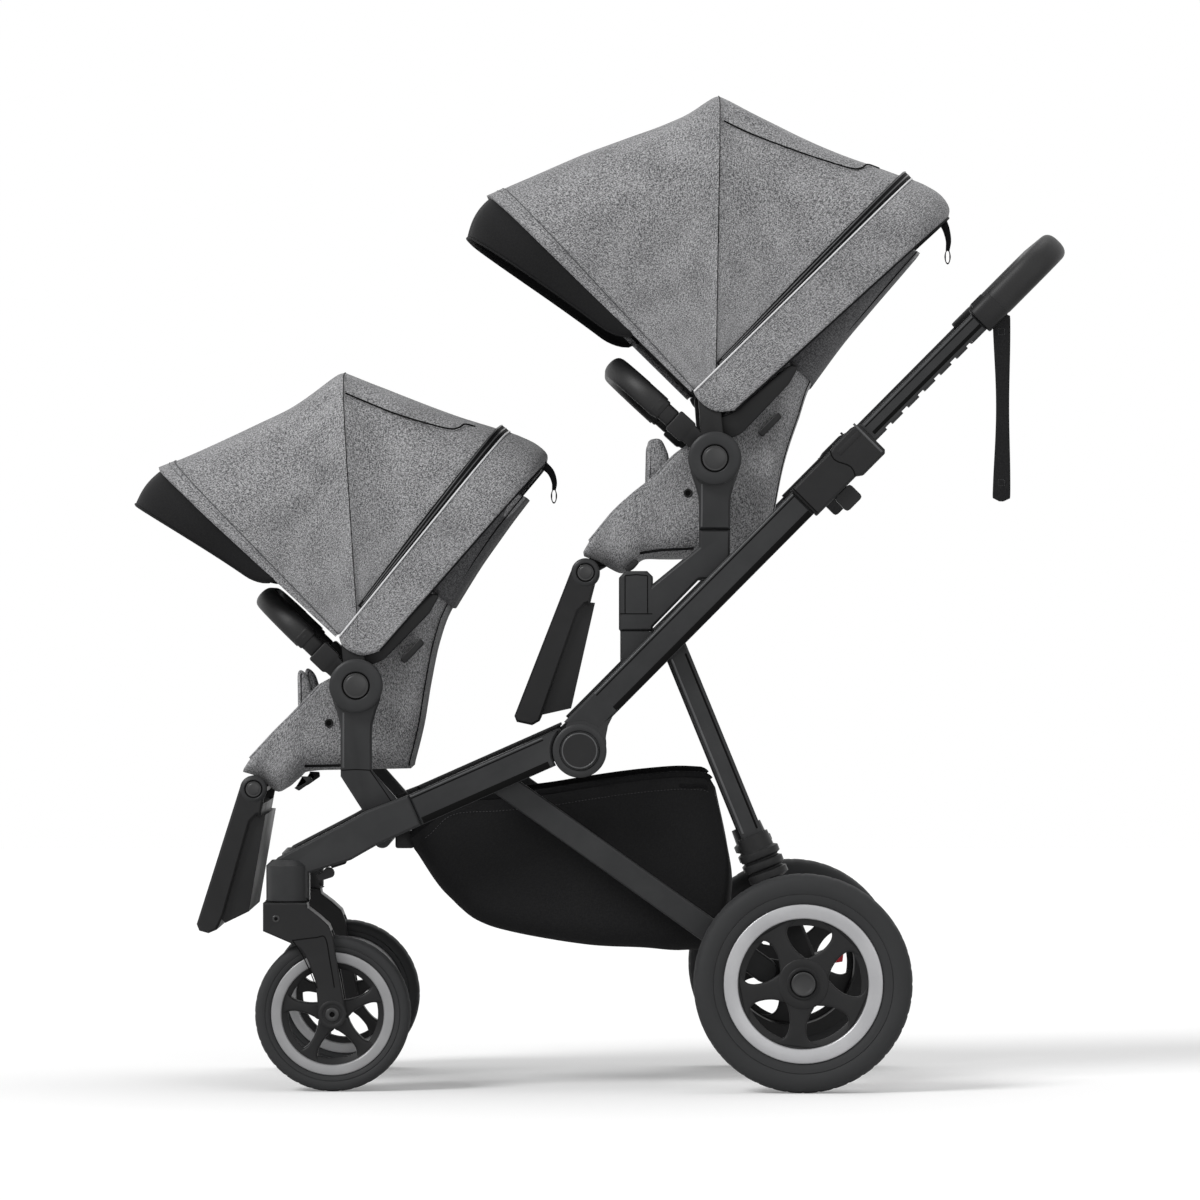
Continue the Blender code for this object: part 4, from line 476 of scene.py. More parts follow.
UPPER_HUB = (0.158, 0.870)
LOWER_HUB = (-0.336, 0.557)
UPPER_FOOT_HUB = (-0.020, 0.713)
LOWER_FOOT_HUB = (-0.480, 0.413)
button_grey = moulded("button_plastic", (0.0125, 0.0125, 0.013), (0.018, 0.018, 0.0185), 0.28, 0.40,
                      gloss=0.5)
for side, sign in SIDES:
    for label, hub, face, outer, inner, button, dome, body in (
            ("upper_recline", UPPER_HUB, 0.2325, 0.0365, 0.0192, 0.0172, 0.0022, "upper_seat_mount"),
            ("lower_recline", LOWER_HUB, 0.2305, 0.0365, 0.0192, 0.0172, 0.0022, "lower_seat_mount"),
            ("upper_footrest_joint", UPPER_FOOT_HUB, 0.1805, 0.0196, 0.0128, 0.0114, 0.0016,
             "upper_footrest"),
            ("lower_footrest_joint", LOWER_FOOT_HUB, 0.1655, 0.0186, 0.0122, 0.0108, 0.0016,
             "lower_footrest")):
        joint_face(label, side, sign, hub, sign * face, outer, inner, button, dome, body)
    turned(f"hinge_ring_{side}", HINGE, sign * TUBE_FACE, sign, [
        (0.0262, -0.001), (0.0372, -0.003), (0.0372, -0.0008), (0.0364, 0.0002), (0.0330, 0.0012),
        (0.0284, 0.0012), (0.0276, 0.0008), (0.0272, 0.0001)], anthracite, "upper_frame",
        ring=True, steps=72)
    # The hinge cap's ring is lighter grey: a painted highlight on its rim.
    turned(f"hinge_cap_ring_{side}", HINGE, sign * 0.254, sign, [
        (0.0228, -0.001), (0.0246, -0.001), (0.0246, 0.0002), (0.0240, 0.0006), (0.0234, 0.0006),
        (0.0228, 0.0002)], painted_highlight_grey, "upper_frame", ring=True, steps=72)

# Arms and seat mounts: cast pieces with a raised spine, clamped to the tubes. The dark lines are
# the thin joints between the mount, the arm and its cover.


def seam(name, points, y, body, radius=0.0007):
    """A thin dark joint line on a side face, through side-view points."""
    return strip(name, at_depth(points, y), radius, radius * 0.6, (0, math.copysign(1, y), 0), gap_and_shade_black,
                 body)


for side, sign in SIDES:
    y, body = sign * 0.2196, "upper_seat_mount"
    for label, points, radius in (
            ("upper_arm_seam", [(0.1365, 0.7720), (0.158, 0.7728), (0.1795, 0.7720)], 0.0009),
            ("upper_post_seam", [(0.0275, 0.6560), (0.050, 0.6560), (0.072, 0.6560)], 0.0007),
            ("upper_post_side", [(0.0345, 0.6570), (0.0345, 0.683), (0.0345, 0.7085)], 0.0007),
            ("upper_post_edge", [(0.0655, 0.6570), (0.0655, 0.683), (0.0655, 0.7085)], 0.0007),
            ("upper_post_cap", [(0.0345, 0.7085), (0.050, 0.7100), (0.0655, 0.7085)], 0.0007)):
        seam(f"{label}_{side}", points, y, body, radius)
    # The raised spines are drawn in lighter grey: a painted highlight along their edges.
    strip(f"upper_arm_spine_{side}", at_depth([(0.1405, 0.835), (0.1405, 0.80), (0.1400, 0.776)],
                                              sign * 0.2195),
          0.0013, 0.0007, (0, sign, 0), painted_highlight_grey, body)
    y, body = sign * 0.2176, "lower_seat_mount"
    strip(f"lower_arm_spine_{side}", at_depth([(-0.3535, 0.520), (-0.3535, 0.480), (-0.3535, 0.444)], y),
          0.0013, 0.0007, (0, sign, 0), painted_highlight_grey, body)
    seam(f"lower_arm_seam_{side}", [(-0.357, 0.4405), (-0.336, 0.4415), (-0.3155, 0.4405)], y, body)
    seam(f"lower_arm_crease_{side}", [(-0.3165, 0.4395), (-0.300, 0.4160), (-0.2865, 0.3960)], y, body)

# Clamp sleeves: a moulded sleeve and a round-cornered collar that grips the handle tube, with a
# curved joint between them and a rolled lip at the top, drawn in lighter grey as a painted highlight.
for side, sign in SIDES:
    y = sign * 0.2541
    stations = np.linspace(0, 1, 9)
    curve = 0.5345 + 0.0045 * np.sin(2 * np.pi * stations)
    path = line_path(UPPER_AXIS, curve, -0.0245 + 0.049 * stations, y)
    strip(f"sleeve_joint_{side}", path, 0.0009, 0.0006, (0, sign, 0), gap_and_shade_black, "upper_frame")
    for label, along, high, wide, tall, look, slot in (
            ("collar_lip", (0.5835, 0.5835, 0.5835), (-0.0275, 0.0, 0.0275), 0.0016, 0.0009, painted_highlight_grey,
             "frame_paint"),
            ("sleeve_foot", (0.462, 0.462, 0.462), (-0.0235, 0.0, 0.0235), 0.0009, 0.0006, gap_and_shade_black,
             "black_plastic"),
            ("collar_shine", (0.540, 0.560, 0.580), 0.0135, 0.0040, 0.0009, black_plastic,
             "black_plastic")):
        strip(f"{label}_{side}", line_path(UPPER_AXIS, along, high, y), wide, tall, (0, sign, 0), look,
              "upper_frame")

# Tyres: solid foam rubber, dark grey, with a flat shoulder, a moulding seam on the sidewall and
# shallow tread blocks. Stretched onto the rims.
rubber = moulded("tyre_rubber", (0.026, 0.0265, 0.0275), (0.033, 0.0335, 0.0345), 0.62, 0.80, grain=500.0,
                 depth=0.3, gloss=0.25)


def tyre_profile(radius, rim, half, seam_at):
    """A tyre's closed section: bead, bulged sidewall with a seam step, rounded shoulder, tread."""
    deep = radius - rim
    side = [(rim, half * 0.80), (rim + 0.10 * deep, half * 0.93), (rim + 0.22 * deep, half * 0.985),
            (seam_at - 0.0008, half), (seam_at, half - 0.0009), (seam_at + 0.0008, half),
            (rim + 0.66 * deep, half * 0.995), (rim + 0.80 * deep, half * 0.95),
            (rim + 0.92 * deep, half * 0.82), (radius - 0.0012, half * 0.60), (radius, half * 0.42)]
    return np.array(side + [(radius, 0.0)] + [(a, -b) for a, b in reversed(side)])


def tyre(name, centre, y, radius, rim, half, seam_at, blocks, cut, node_name, body):
    """The turned section, with every sixth row of the tread pushed in to make the grooves."""
    steps = blocks * 6
    profile = tyre_profile(radius, rim, half, seam_at)
    grid = lathe(centre, y, 1, profile, steps)
    groove = np.where(np.arange(steps) % 6 == 0, 1.0, 0.0)[None]
    edge = np.clip((profile[:, 0] - (radius - 0.004)) / 0.003, 0, 1)[:, None]
    depth = cut * groove * edge * (np.abs(profile[:, 1]) > half * 0.30)[:, None]
    away = grid - np.array([centre[0], 0, centre[1]])
    away[..., 1] = 0
    piece = surface(name, grid - unit(away) * depth[..., None], rubber, wrap=True, loop=True)
    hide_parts(node_name)
    return placed(piece, body)


REAR_CENTRE, FRONT_CENTRE = (0.278, 0.150), (-0.367, 0.107)
REAR_Y, FRONT_Y = 0.272, 0.235
for side, sign in SIDES:
    tyre(f"rear_tyre_rubber_{side}", REAR_CENTRE, sign * REAR_Y, radius=0.150, rim=0.1083, half=0.025,
         seam_at=0.123, blocks=44, cut=0.0009, node_name=f"rear_tyre_{side}", body=f"rear_wheel_{side}")
    tyre(f"front_tyre_rubber_{side}", FRONT_CENTRE, sign * FRONT_Y, radius=0.107, rim=0.0843, half=0.020,
         seam_at=0.0925, blocks=34, cut=0.0007, node_name=f"front_tyre_{side}",
         body=f"front_wheel_{side}")

# Rims: one black moulding of a ribbed barrel, a web of five spokes and a hub, and a silver painted
# ring snapped on its outer face. The front wheels are the same on both faces.
silver = moulded("silver_paint", (0.40, 0.40, 0.41), (0.47, 0.47, 0.48), 0.30, 0.38, metallic=0.35,
                 grain=1200.0, depth=0.05, gloss=0.5)
grey_ring = moulded("grey_paint", (0.27, 0.27, 0.275), (0.33, 0.33, 0.335), 0.34, 0.42, metallic=0.25,
                    grain=1200.0, depth=0.05, gloss=0.5)


def spline(points, count):
    """A smooth curve through points: Catmull-Rom pieces sampled evenly by number."""
    p = np.asarray(points, float)
    p = np.vstack([2 * p[0] - p[1], p, 2 * p[-1] - p[-2]])
    t = np.linspace(0, len(p) - 3 - 1e-9, count)
    i = t.astype(int)
    f = (t - i)[:, None]
    a, b, c, d = p[i], p[i + 1], p[i + 2], p[i + 3]
    return 0.5 * (2 * b + (c - a) * f + (2 * a - 5 * b + 4 * c - d) * f ** 2
                  + (3 * b - a - 3 * c + d) * f ** 3)


def spoke_grid(centre, turn, shape, face, sign, sink, thick, rows=26, sides=20):
    """A spoke along a radius: rounded boxes whose half width follows a smooth curve through
    (radius, half width) points, bent round the hub so that its ends follow the circle."""
    line = spline(shape, rows)
    t = 2 * np.pi * (np.arange(sides) + 0.5) / sides
    wide = np.sign(np.cos(t)) * np.abs(np.cos(t)) ** 0.35
    deep = np.sign(np.sin(t)) * np.abs(np.sin(t)) ** 0.35
    a = line[:, 1][:, None] * wide[None]
    y = face - sign * (sink + thick / 2) + thick / 2 * deep[None] + 0 * a
    swing = math.radians(turn) + a / line[:, 0][:, None]
    r = line[:, 0][:, None] + 0 * a
    return np.stack([centre[0] + r * np.cos(swing), y, centre[1] + r * np.sin(swing)], -1)


def ring_piece(name, centre, face, sign, outer, inner, drop, finish, body):
    """A flat ring with rounded edges, from an inner to an outer radius, set a little deeper inside."""
    turned(name, centre, face, sign, [
        (outer - 0.0005, -drop - 0.002), (outer, -0.0012), (outer - 0.0008, -0.0003), (outer - 0.0020, 0.0),
        (inner + 0.0022, -0.0014), (inner + 0.0009, -0.0020), (inner, -0.0032), (inner, -drop - 0.002)],
        finish, body, ring=True, steps=120)


def rim_body(label, side, sign, centre, y, half, into, shape, face_drop, hub, turn, both_faces, body):
    """The barrel with its ribs, a dark flange, the spokes and the hub of one wheel."""
    face = y + sign * half
    ribs = np.linspace(-half * 0.72, half * 0.72, 9)
    inner_wall = [(into - (0.0012 if i % 2 else 0.0), float(r)) for i, r in enumerate(ribs)]
    turned(f"{label}_barrel_{side}", centre, y, 1, [
        (into + 0.0028, -half * 0.80), (into + 0.0028, half * 0.80), (into, half * 0.80), *inner_wall[::-1],
        (into, -half * 0.80)], black_plastic, body, ring=True, steps=96)
    for face_sign in ((sign, -sign) if both_faces else (sign,)):
        turned(f"{label}_flange_{side}_{'out' if face_sign == sign else 'in'}", centre,
               y + face_sign * half, face_sign, [
            (into + 0.001, -0.0030), (into + 0.001, -0.0048), (shape[-1][0] - 0.006, -face_drop - 0.0025),
            (shape[-1][0] - 0.0075, -face_drop - 0.0035), (shape[-1][0] - 0.0075, -face_drop - 0.0065),
            (into + 0.001, -face_drop - 0.0065)], black_plastic, body, ring=True, steps=96)
    thick = 2 * half - 2 * face_drop if both_faces else 0.011
    for i in range(5):
        spoke = spoke_grid(centre, turn + 72 * i, shape, face, sign, face_drop, thick)
        placed(surface(f"{label}_spoke_{side}_{i}", spoke, black_plastic, wrap=True, caps="flat"), body)
    depth = 2 * half if both_faces else 2 * half - 0.002
    turned(f"{label}_hub_boss_{side}", centre, face, sign, [
        (hub * 0.42, -depth), (hub * 0.9, -depth), (hub, -depth + 0.002), (hub, -face_drop + 0.0002),
        (hub - 0.0008, -face_drop + 0.0012), (hub * 0.80, -face_drop + 0.0014),
        (hub * 0.76, -face_drop + 0.0004), (hub * 0.72, -face_drop - 0.0012),
        (hub * 0.42, -face_drop - 0.0012)], black_plastic, body, ring=True)


def tyre_bead(label, side, centre, y, profile, body):
    """The bed that the tyre sits in; it stands for the CAD rim."""
    bed = surface(f"{label}_bead_{side}", lathe(centre, y, 1, profile, 96), black_plastic, wrap=True,
                  loop=True)
    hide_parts(f"{label}_rim_{side}")
    placed(bed, body)


REAR_SPOKE = [(0.0190, 0.0117), (0.030, 0.0186), (0.0345, 0.0204), (0.0385, 0.0180), (0.045, 0.0142),
              (0.055, 0.0120), (0.066, 0.0122), (0.074, 0.0146), (0.080, 0.0195), (0.0845, 0.0280),
              (0.0875, 0.0385)]
FRONT_SPOKE = [(0.0080, 0.0052), (0.014, 0.0094), (0.0215, 0.0134), (0.0265, 0.0104), (0.036, 0.0078),
               (0.046, 0.0073), (0.055, 0.0082), (0.062, 0.0112), (0.067, 0.0160), (0.0695, 0.0225)]
REAR_HALF, FRONT_HALF = 0.0235, 0.0185
for side, sign in SIDES:
    body = f"rear_wheel_{side}"
    rim_body("rear", side, sign, REAR_CENTRE, sign * REAR_Y, REAR_HALF, into=0.0900, shape=REAR_SPOKE,
             face_drop=0.0045, hub=0.0235, turn=47, both_faces=False, body=body)
    ring_piece(f"rear_silver_ring_{side}", REAR_CENTRE, sign * 0.2958, sign, outer=0.1090, inner=0.0893,
               drop=0.004, finish=silver, body=body)
    tyre_bead("rear", side, REAR_CENTRE, sign * REAR_Y, [
        (0.0925, -0.019), (0.1086, -0.0205), (0.1086, 0.0200), (0.0925, 0.019)], body)
    face = sign * (REAR_Y + REAR_HALF)
    turned(f"rear_cap_ring_{side}", REAR_CENTRE, face, sign, [
        (0.0172, -0.006), (0.0214, -0.006), (0.0214, -0.0026), (0.0208, -0.0018), (0.0180, -0.0018),
        (0.0172, -0.0026)], black_plastic, body, ring=True)
    turned(f"rear_hub_plate_{side}", REAR_CENTRE, face, sign, [
        (0.0210, -0.0140), (0.0352, -0.0140), (0.0352, -0.0052), (0.0346, -0.0042), (0.0330, -0.0036),
        (0.0235, -0.0034), (0.0220, -0.0040), (0.0210, -0.0052)], black_plastic, body,
        ring=True, steps=72)
    cap = turned(f"hub_button_dish_{side}", REAR_CENTRE, sign * 0.2935, sign, np.vstack([
        [(0.002, 0.0), (0.0166, 0.0), (0.0166, 0.0048)], arc_points(0.0156, 0.0048, 0.0010, 0.0010, 0, 90, 4),
        [(0.0140, 0.0058), (0.0125, 0.0049), (0.0095, 0.0042), (0.002, 0.0040)]]), button_grey,
        f"hub_button_{side}")
    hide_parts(f"hub_button_{side}")

    body = f"front_wheel_{side}"
    rim_body("front", side, sign, FRONT_CENTRE, sign * FRONT_Y, FRONT_HALF, into=0.0705,
             shape=FRONT_SPOKE, face_drop=0.0052, hub=0.0185, turn=96, both_faces=True, body=body)
    for label, out in (("out", sign), ("in", -sign)):
        ring_piece(f"front_grey_ring_{side}_{label}", FRONT_CENTRE, sign * FRONT_Y + out * 0.0188, out,
                   outer=0.0846, inner=0.0702, drop=0.004, finish=grey_ring, body=body)
    tyre_bead("front", side, FRONT_CENTRE, sign * FRONT_Y, [
        (0.0728, -0.0150), (0.0846, -0.0160), (0.0846, 0.0160), (0.0728, 0.0150)], body)

# Caster forks: moulded swivelling legs with a sunk panel down each arm, a bolted eye at the axle
# and a clamp screw in the crown. The housing above has a parting line round it.
for side, sign in SIDES:
    body, y = f"caster_{side}", sign * 0.2696
    outline = [(-0.4215, 0.2085), (-0.3895, 0.2125), (-0.3765, 0.2120), (-0.3700, 0.1800), (-0.3640, 0.1440)]
    seam(f"fork_panel_{side}", spline(outline, 24), y, body, 0.0008)
    outline = [(-0.4215, 0.2085), (-0.4100, 0.1920), (-0.3990, 0.1700), (-0.3880, 0.1430)]
    seam(f"fork_panel_edge_{side}", spline(outline, 24), y, body, 0.0008)
    turned(f"fork_eye_ring_{side}", FRONT_CENTRE, y, sign, [
        (0.0135, -0.001), (0.0190, -0.001), (0.0190, 0.0006), (0.0180, 0.0013), (0.0145, 0.0013),
        (0.0135, 0.0006)], black_plastic, body, ring=True)
    turned(f"fork_bolt_{side}", FRONT_CENTRE, y, sign, [
        (0.0030, -0.0010), (0.0096, -0.0010), (0.0096, 0.0016), (0.0088, 0.0024), (0.0044, 0.0026),
        (0.0036, 0.0020), (0.0034, 0.0004), (0.0030, 0.0004)], button_grey, body, ring=True)
    turned(f"fork_bolt_well_{side}", FRONT_CENTRE, y, sign, [(0.0008, -0.0002), (0.0036, -0.0002),
           (0.0036, 0.0005), (0.0008, 0.0005)], gap_and_shade_black, body)
    screw = (-0.4440, 0.2380)
    turned(f"fork_crown_screw_{side}", screw, y, sign, [
        (0.0022, -0.001), (0.0050, -0.001), (0.0050, 0.0004), (0.0042, 0.0010), (0.0028, 0.0010),
        (0.0022, 0.0003)], button_grey, body, ring=True, steps=32)
    turned(f"fork_crown_well_{side}", screw, y, sign, [(0.0006, -0.0002), (0.0024, -0.0002), (0.0024, 0.0003),
           (0.0006, 0.0003)], gap_and_shade_black, body, steps=24)
    turn = np.radians(np.linspace(-100, 100, 31) + 90 * sign)
    ring = np.stack([-0.429 + 0.0304 * np.cos(turn), sign * FRONT_Y + 0.0304 * np.sin(turn),
                     0.2615 + 0 * turn], -1)
    strip(f"housing_seam_{side}", ring, 0.0008, 0.0006, (0, 0, 1), gap_and_shade_black, "front_frame")

# Rear brake: a moulded foot pedal, black at its pivot and red at the tip that is stepped on.
pedal_skin, pedal_tree, pedal_shader = new_finish("pedal_two_tone", Roughness=0.42)
where = node(pedal_tree, "ShaderNodeTexCoord")
parts = node(pedal_tree, "ShaderNodeSeparateXYZ", [("Vector", where.outputs["Object"])])
tip = node(pedal_tree, "ShaderNodeMapRange", [("Value", parts.outputs["X"])],
           From_Min=0.3165, From_Max=0.3170)
fleck = node(pedal_tree, "ShaderNodeTexNoise", [("Vector", where.outputs["Object"])],
             Scale=300.0, Detail=3.0)
red = node(pedal_tree, "ShaderNodeMix", [(0, fleck.outputs["Fac"])], data_type="RGBA")
red.inputs[6].default_value = (0.40, 0.010, 0.022, 1)
red.inputs[7].default_value = (0.50, 0.016, 0.030, 1)
two = node(pedal_tree, "ShaderNodeMix", [(0, tip.outputs["Result"]), (7, red.outputs[2])],
           data_type="RGBA")
two.inputs[6].default_value = (0.012, 0.012, 0.012, 1)
wire(pedal_tree, pedal_shader, [("Base Color", two.outputs[2])])
finished(pedal_skin, "red_plastic", 0.0010, "brake_pedal")

# Canopies: a grey melange fabric stretched over three aluminium bows, with a sun visor in smooth
# black cloth, a zip with reflective piping at the rear bow, and a fixed fabric band behind it.
melange_group, enter, leave = effect_group("melange_weave", [
    ("Vector", "NodeSocketVector", None), ("Light", "NodeSocketColor", (0.3, 0.3, 0.3, 1)),
    ("Dark", "NodeSocketColor", (0.2, 0.2, 0.2, 1)), ("Threads", "NodeSocketFloat", 1.0)],
    [("Color", "NodeSocketColor"), ("Height", "NodeSocketFloat")])
on_cloth = [("Vector", enter.outputs["Vector"])]
threads = []
for stretch in ((180, 600, 1), (600, 180, 1)):
    drawn = node(melange_group, "ShaderNodeMapping", on_cloth, Scale=stretch)
    threads.append(node(melange_group, "ShaderNodeTexNoise", [
        ("Vector", drawn.outputs[0]), ("Scale", enter.outputs["Threads"])], Detail=2.0, Roughness=0.6))
over = node(melange_group, "ShaderNodeTexChecker", on_cloth, Scale=1300.0)
pick = node(melange_group, "ShaderNodeMix", [
    (0, over.outputs["Fac"]), (2, threads[0].outputs["Fac"]), (3, threads[1].outputs["Fac"])],
    data_type="FLOAT")
fleck = node(melange_group, "ShaderNodeTexNoise", on_cloth, Scale=560.0, Detail=2.0)
mingle = node(melange_group, "ShaderNodeMix", [(2, pick.outputs[0]), (3, fleck.outputs["Fac"])],
              data_type="FLOAT", Factor=0.42)
spread = node(melange_group, "ShaderNodeMapRange", [("Value", mingle.outputs[0])],
              From_Min=0.43, From_Max=0.60)
cloud = node(melange_group, "ShaderNodeTexNoise", on_cloth, Scale=24.0, Detail=3.0)
shift = node(melange_group, "ShaderNodeMapRange", [("Value", cloud.outputs["Fac"])],
             From_Min=0.3, From_Max=0.7, To_Min=-0.10, To_Max=0.10)
total = node(melange_group, "ShaderNodeMath", [(0, spread.outputs["Result"]), (1, shift.outputs["Result"])],
             operation="ADD", use_clamp=True)
blend_tone = node(melange_group, "ShaderNodeMix", [
    (0, total.outputs[0]), (6, enter.outputs["Dark"]), (7, enter.outputs["Light"])], data_type="RGBA")
wire(melange_group, leave, [("Color", blend_tone.outputs[2]), ("Height", mingle.outputs[0])])


def cloth(name, light, dark, bump, rough=0.92, sheen=0.12, gloss=0.15):
    """A woven cloth: mottled threads in two directions on the piece's own UV map, in metres."""
    finish, tree, shader = new_finish(name, Roughness=rough, Sheen_Weight=sheen, Specular_IOR_Level=gloss)
    flat = node(tree, "ShaderNodeUVMap", uv_map="cloth")
    weave = node(tree, "ShaderNodeGroup", node_tree=melange_group, Light=(*light, 1), Dark=(*dark, 1))
    wire(tree, weave, [("Vector", flat.outputs["UV"])])
    relief = node(tree, "ShaderNodeBump", [("Height", weave.outputs["Height"])], Distance=0.0006,
                  Strength=bump)
    wire(tree, shader, [("Base Color", weave.outputs["Color"]), ("Normal", relief.outputs["Normal"])])
    return finish


grey_melange = cloth("grey_melange", (0.500, 0.500, 0.508), (0.070, 0.070, 0.074), bump=0.6)
charcoal_melange = cloth("charcoal_melange", (0.150, 0.150, 0.154), (0.045, 0.045, 0.048), bump=0.5)
lining = cloth("canopy_lining", (0.120, 0.120, 0.124), (0.075, 0.075, 0.078), bump=0.3)
black_cloth = cloth("black_cloth", (0.0135, 0.0135, 0.0140), (0.0080, 0.0080, 0.0085), bump=0.15,
                    rough=0.75, sheen=0.0, gloss=0.12)
black_tape = cloth("black_tape", (0.0100, 0.0100, 0.0105), (0.004, 0.004, 0.0045), bump=0.6,
                   rough=0.7, sheen=0.0, gloss=0.08)
webbing = cloth("black_webbing", (0.0150, 0.0150, 0.0155), (0.0060, 0.0060, 0.0065), bump=0.7,
                rough=0.6, sheen=0.0, gloss=0.12)
reflective = moulded("reflective_piping", (0.72, 0.72, 0.73), (0.82, 0.82, 0.83), 0.30, 0.40,
                     grain=1500.0, depth=0.1, gloss=0.5)
thread = moulded("sewing_thread", (0.060, 0.060, 0.062), (0.080, 0.080, 0.082), 0.6, 0.7,
                 grain=2500.0, depth=0.3)


def hoop(home, crown, half, corner, bulge, begin, count):
    """A U in the plane of a bow and Y: straight sides from the pivot, quarter circles, and a
    crown that rises as a parabola. Evenly spaced points and their outward directions."""
    home, crown = np.array(home, float), np.array(crown, float)
    flat = np.linalg.norm(crown - home)
    ahead = (crown - home) / flat
    bend = min(corner, 0.7 * (flat - begin), 0.8 * half)
    turn = arc_points(half - bend, flat - bend, bend, bend, 0, 90, 24)
    top_y = np.linspace(half - bend, 0, 24)[1:]
    top = np.stack([top_y, flat + bulge * (1 - (top_y / (half - bend)) ** 2)], -1)
    y, up = evenly(with_mirror(np.vstack([[(half, begin)], turn, top])), count)
    along = unit(np.gradient(np.stack([y, up], -1), axis=0))
    out = np.stack([along[:, 1], -along[:, 0]], -1)
    out *= np.sign((out * np.stack([y, up - flat * 0.4], -1)).sum(1))[:, None]
    points = np.stack([home[0] + up * ahead[0], y, home[1] + up * ahead[1]], -1)
    outward = np.stack([out[:, 1] * ahead[0], out[:, 0], out[:, 1] * ahead[1]], -1)
    return points, outward


CANOPY_HALF = 0.1992
CANOPY_CORNER = 0.118
CROWN_RISE = 0.006
CANOPIES = {
    "upper": dict(
        home=(0.150, 0.960), front_home=(0.1310, 0.9625), seam_home=(0.1600, 0.9720),
        fore=[(-0.1545, 1.2385), (-0.120, 1.2549), (-0.0865, 1.2702), (-0.0529, 1.2858), (-0.0193, 1.3008),
              (0.0142, 1.3137), (0.0478, 1.3261), (0.0804, 1.3376), (0.1139, 1.3512), (0.1312, 1.3600),
              (0.1475, 1.3702), (0.1590, 1.3762), (0.1665, 1.3775)],
        aft=[(0.1665, 1.3775), (0.1811, 1.3722), (0.2147, 1.3556), (0.2482, 1.3398), (0.2818, 1.3236),
             (0.3154, 1.3085), (0.348, 1.2950), (0.3815, 1.2825), (0.4151, 1.2692), (0.4324, 1.262)],
        band=[(0.4335, 1.2622), (0.452, 1.2545), (0.474, 1.2410), (0.4865, 1.2230), (0.4855, 1.2080)],
        feet=[(0.1290, 0.9625), (0.1345, 0.9530), (0.1480, 0.9410), (0.1640, 0.9350), (0.1870, 0.9370)],
        visor=0.064, visor_side=0.028, visor_from=0.127, visor_draw=0.035,
        flap=[(0.1715, 1.3390), (0.205, 1.3235), (0.245, 1.3080), (0.290, 1.2920), (0.330, 1.2795),
              (0.3520, 1.2740), (0.3640, 1.2760), (0.3730, 1.2820), (0.3900, 1.2790)],
        tab=[(0.4800, 1.2050), (0.4850, 1.1930), (0.4880, 1.1780), (0.4868, 1.1640)]),
    "lower": dict(
        home=(-0.343, 0.617), front_home=(-0.3595, 0.6245), seam_home=(-0.3340, 0.6280),
        fore=[(-0.6155, 0.857), (-0.5769, 0.8735), (-0.5433, 0.8895), (-0.5097, 0.9060), (-0.4772, 0.9222),
              (-0.4436, 0.9385), (-0.4263, 0.9485), (-0.410, 0.9592), (-0.3927, 0.9713), (-0.3764, 0.9827),
              (-0.3660, 0.9880), (-0.3580, 0.9888)],
        aft=[(-0.3580, 0.9888), (-0.3430, 0.9842), (-0.3266, 0.9788), (-0.293, 0.9665), (-0.2594, 0.9535),
             (-0.2259, 0.9403), (-0.1923, 0.9275), (-0.1587, 0.9160), (-0.1330, 0.9065)],
        band=[(-0.1318, 0.9068), (-0.115, 0.9005), (-0.0935, 0.8900), (-0.0785, 0.8760), (-0.0790, 0.8620)],
        feet=[(-0.3605, 0.6240), (-0.3560, 0.6130), (-0.3430, 0.6030), (-0.3260, 0.5985), (-0.3040, 0.6045)],
        visor=0.060, visor_side=0.024, visor_from=0.134, visor_draw=0.012,
        flap=[(-0.3530, 0.9620), (-0.320, 0.9480), (-0.285, 0.9340), (-0.245, 0.9215), (-0.2100, 0.9130),
              (-0.1960, 0.9150), (-0.1880, 0.9200), (-0.1740, 0.9170)],
        tab=[(-0.0800, 0.8650), (-0.0690, 0.8540), (-0.0640, 0.8400), (-0.0645, 0.8290)]),
}


def fan_rows(first_home, last_home, crowns, count):
    """Hoops through a line of crown points, whose feet move from a first place to a last one."""
    homes = np.linspace(first_home, last_home, len(crowns))
    return np.stack([hoop(home, crown, CANOPY_HALF, CANOPY_CORNER, CROWN_RISE, 0.004, count)[0]
                     for home, crown in zip(homes, crowns)])


def hollow(grid, home, depth):
    """Draws a panel in between two bows: deepest half way along it and half way up the side."""
    rows, count = grid.shape[:2]
    along = np.sin(np.pi * np.linspace(0, 1, rows))[:, None]
    round_it = np.sin(np.pi * np.linspace(0, 1, count))[None] ** 0.5
    share = np.abs(np.linspace(-1, 1, count))[None]
    round_it = round_it * (0.35 + 0.65 * np.clip((share - 0.15) / 0.35, 0, 1))
    inward = unit(np.array([home[0], 0.0, home[1] + 0.10]) - grid)
    return grid + inward * (depth * along * round_it)[..., None]


def outward_of(grid):
    """The unit normals of a sheet, turned away from its middle."""
    normal = unit(np.cross(np.gradient(grid, axis=0), np.gradient(grid, axis=1)), 1e-9)
    return -normal if (normal * (grid - grid.mean((0, 1)))).sum() < 0 else normal


def folds(grid, seeds, depth):
    """Soft creases: each seed is (row share, column share, row width, column width, tilt)."""
    rows, count = grid.shape[:2]
    u, v = np.meshgrid(np.linspace(0, 1, rows), np.linspace(0, 1, count), indexing="ij")
    total = np.zeros((rows, count))
    for ru, rv, wu, wv, tilt in seeds:
        a, b = u - ru, (v - rv) + tilt * (u - ru)
        total += np.exp(-(a / wu) ** 2 - (b / wv) ** 2)
    return grid - outward_of(grid) * (depth * total)[..., None]


def both_sides(seeds):
    """The same creases mirrored on the far side."""
    return seeds + [(ru, 1 - rv, wu, wv, -tilt) for ru, rv, wu, wv, tilt in seeds]


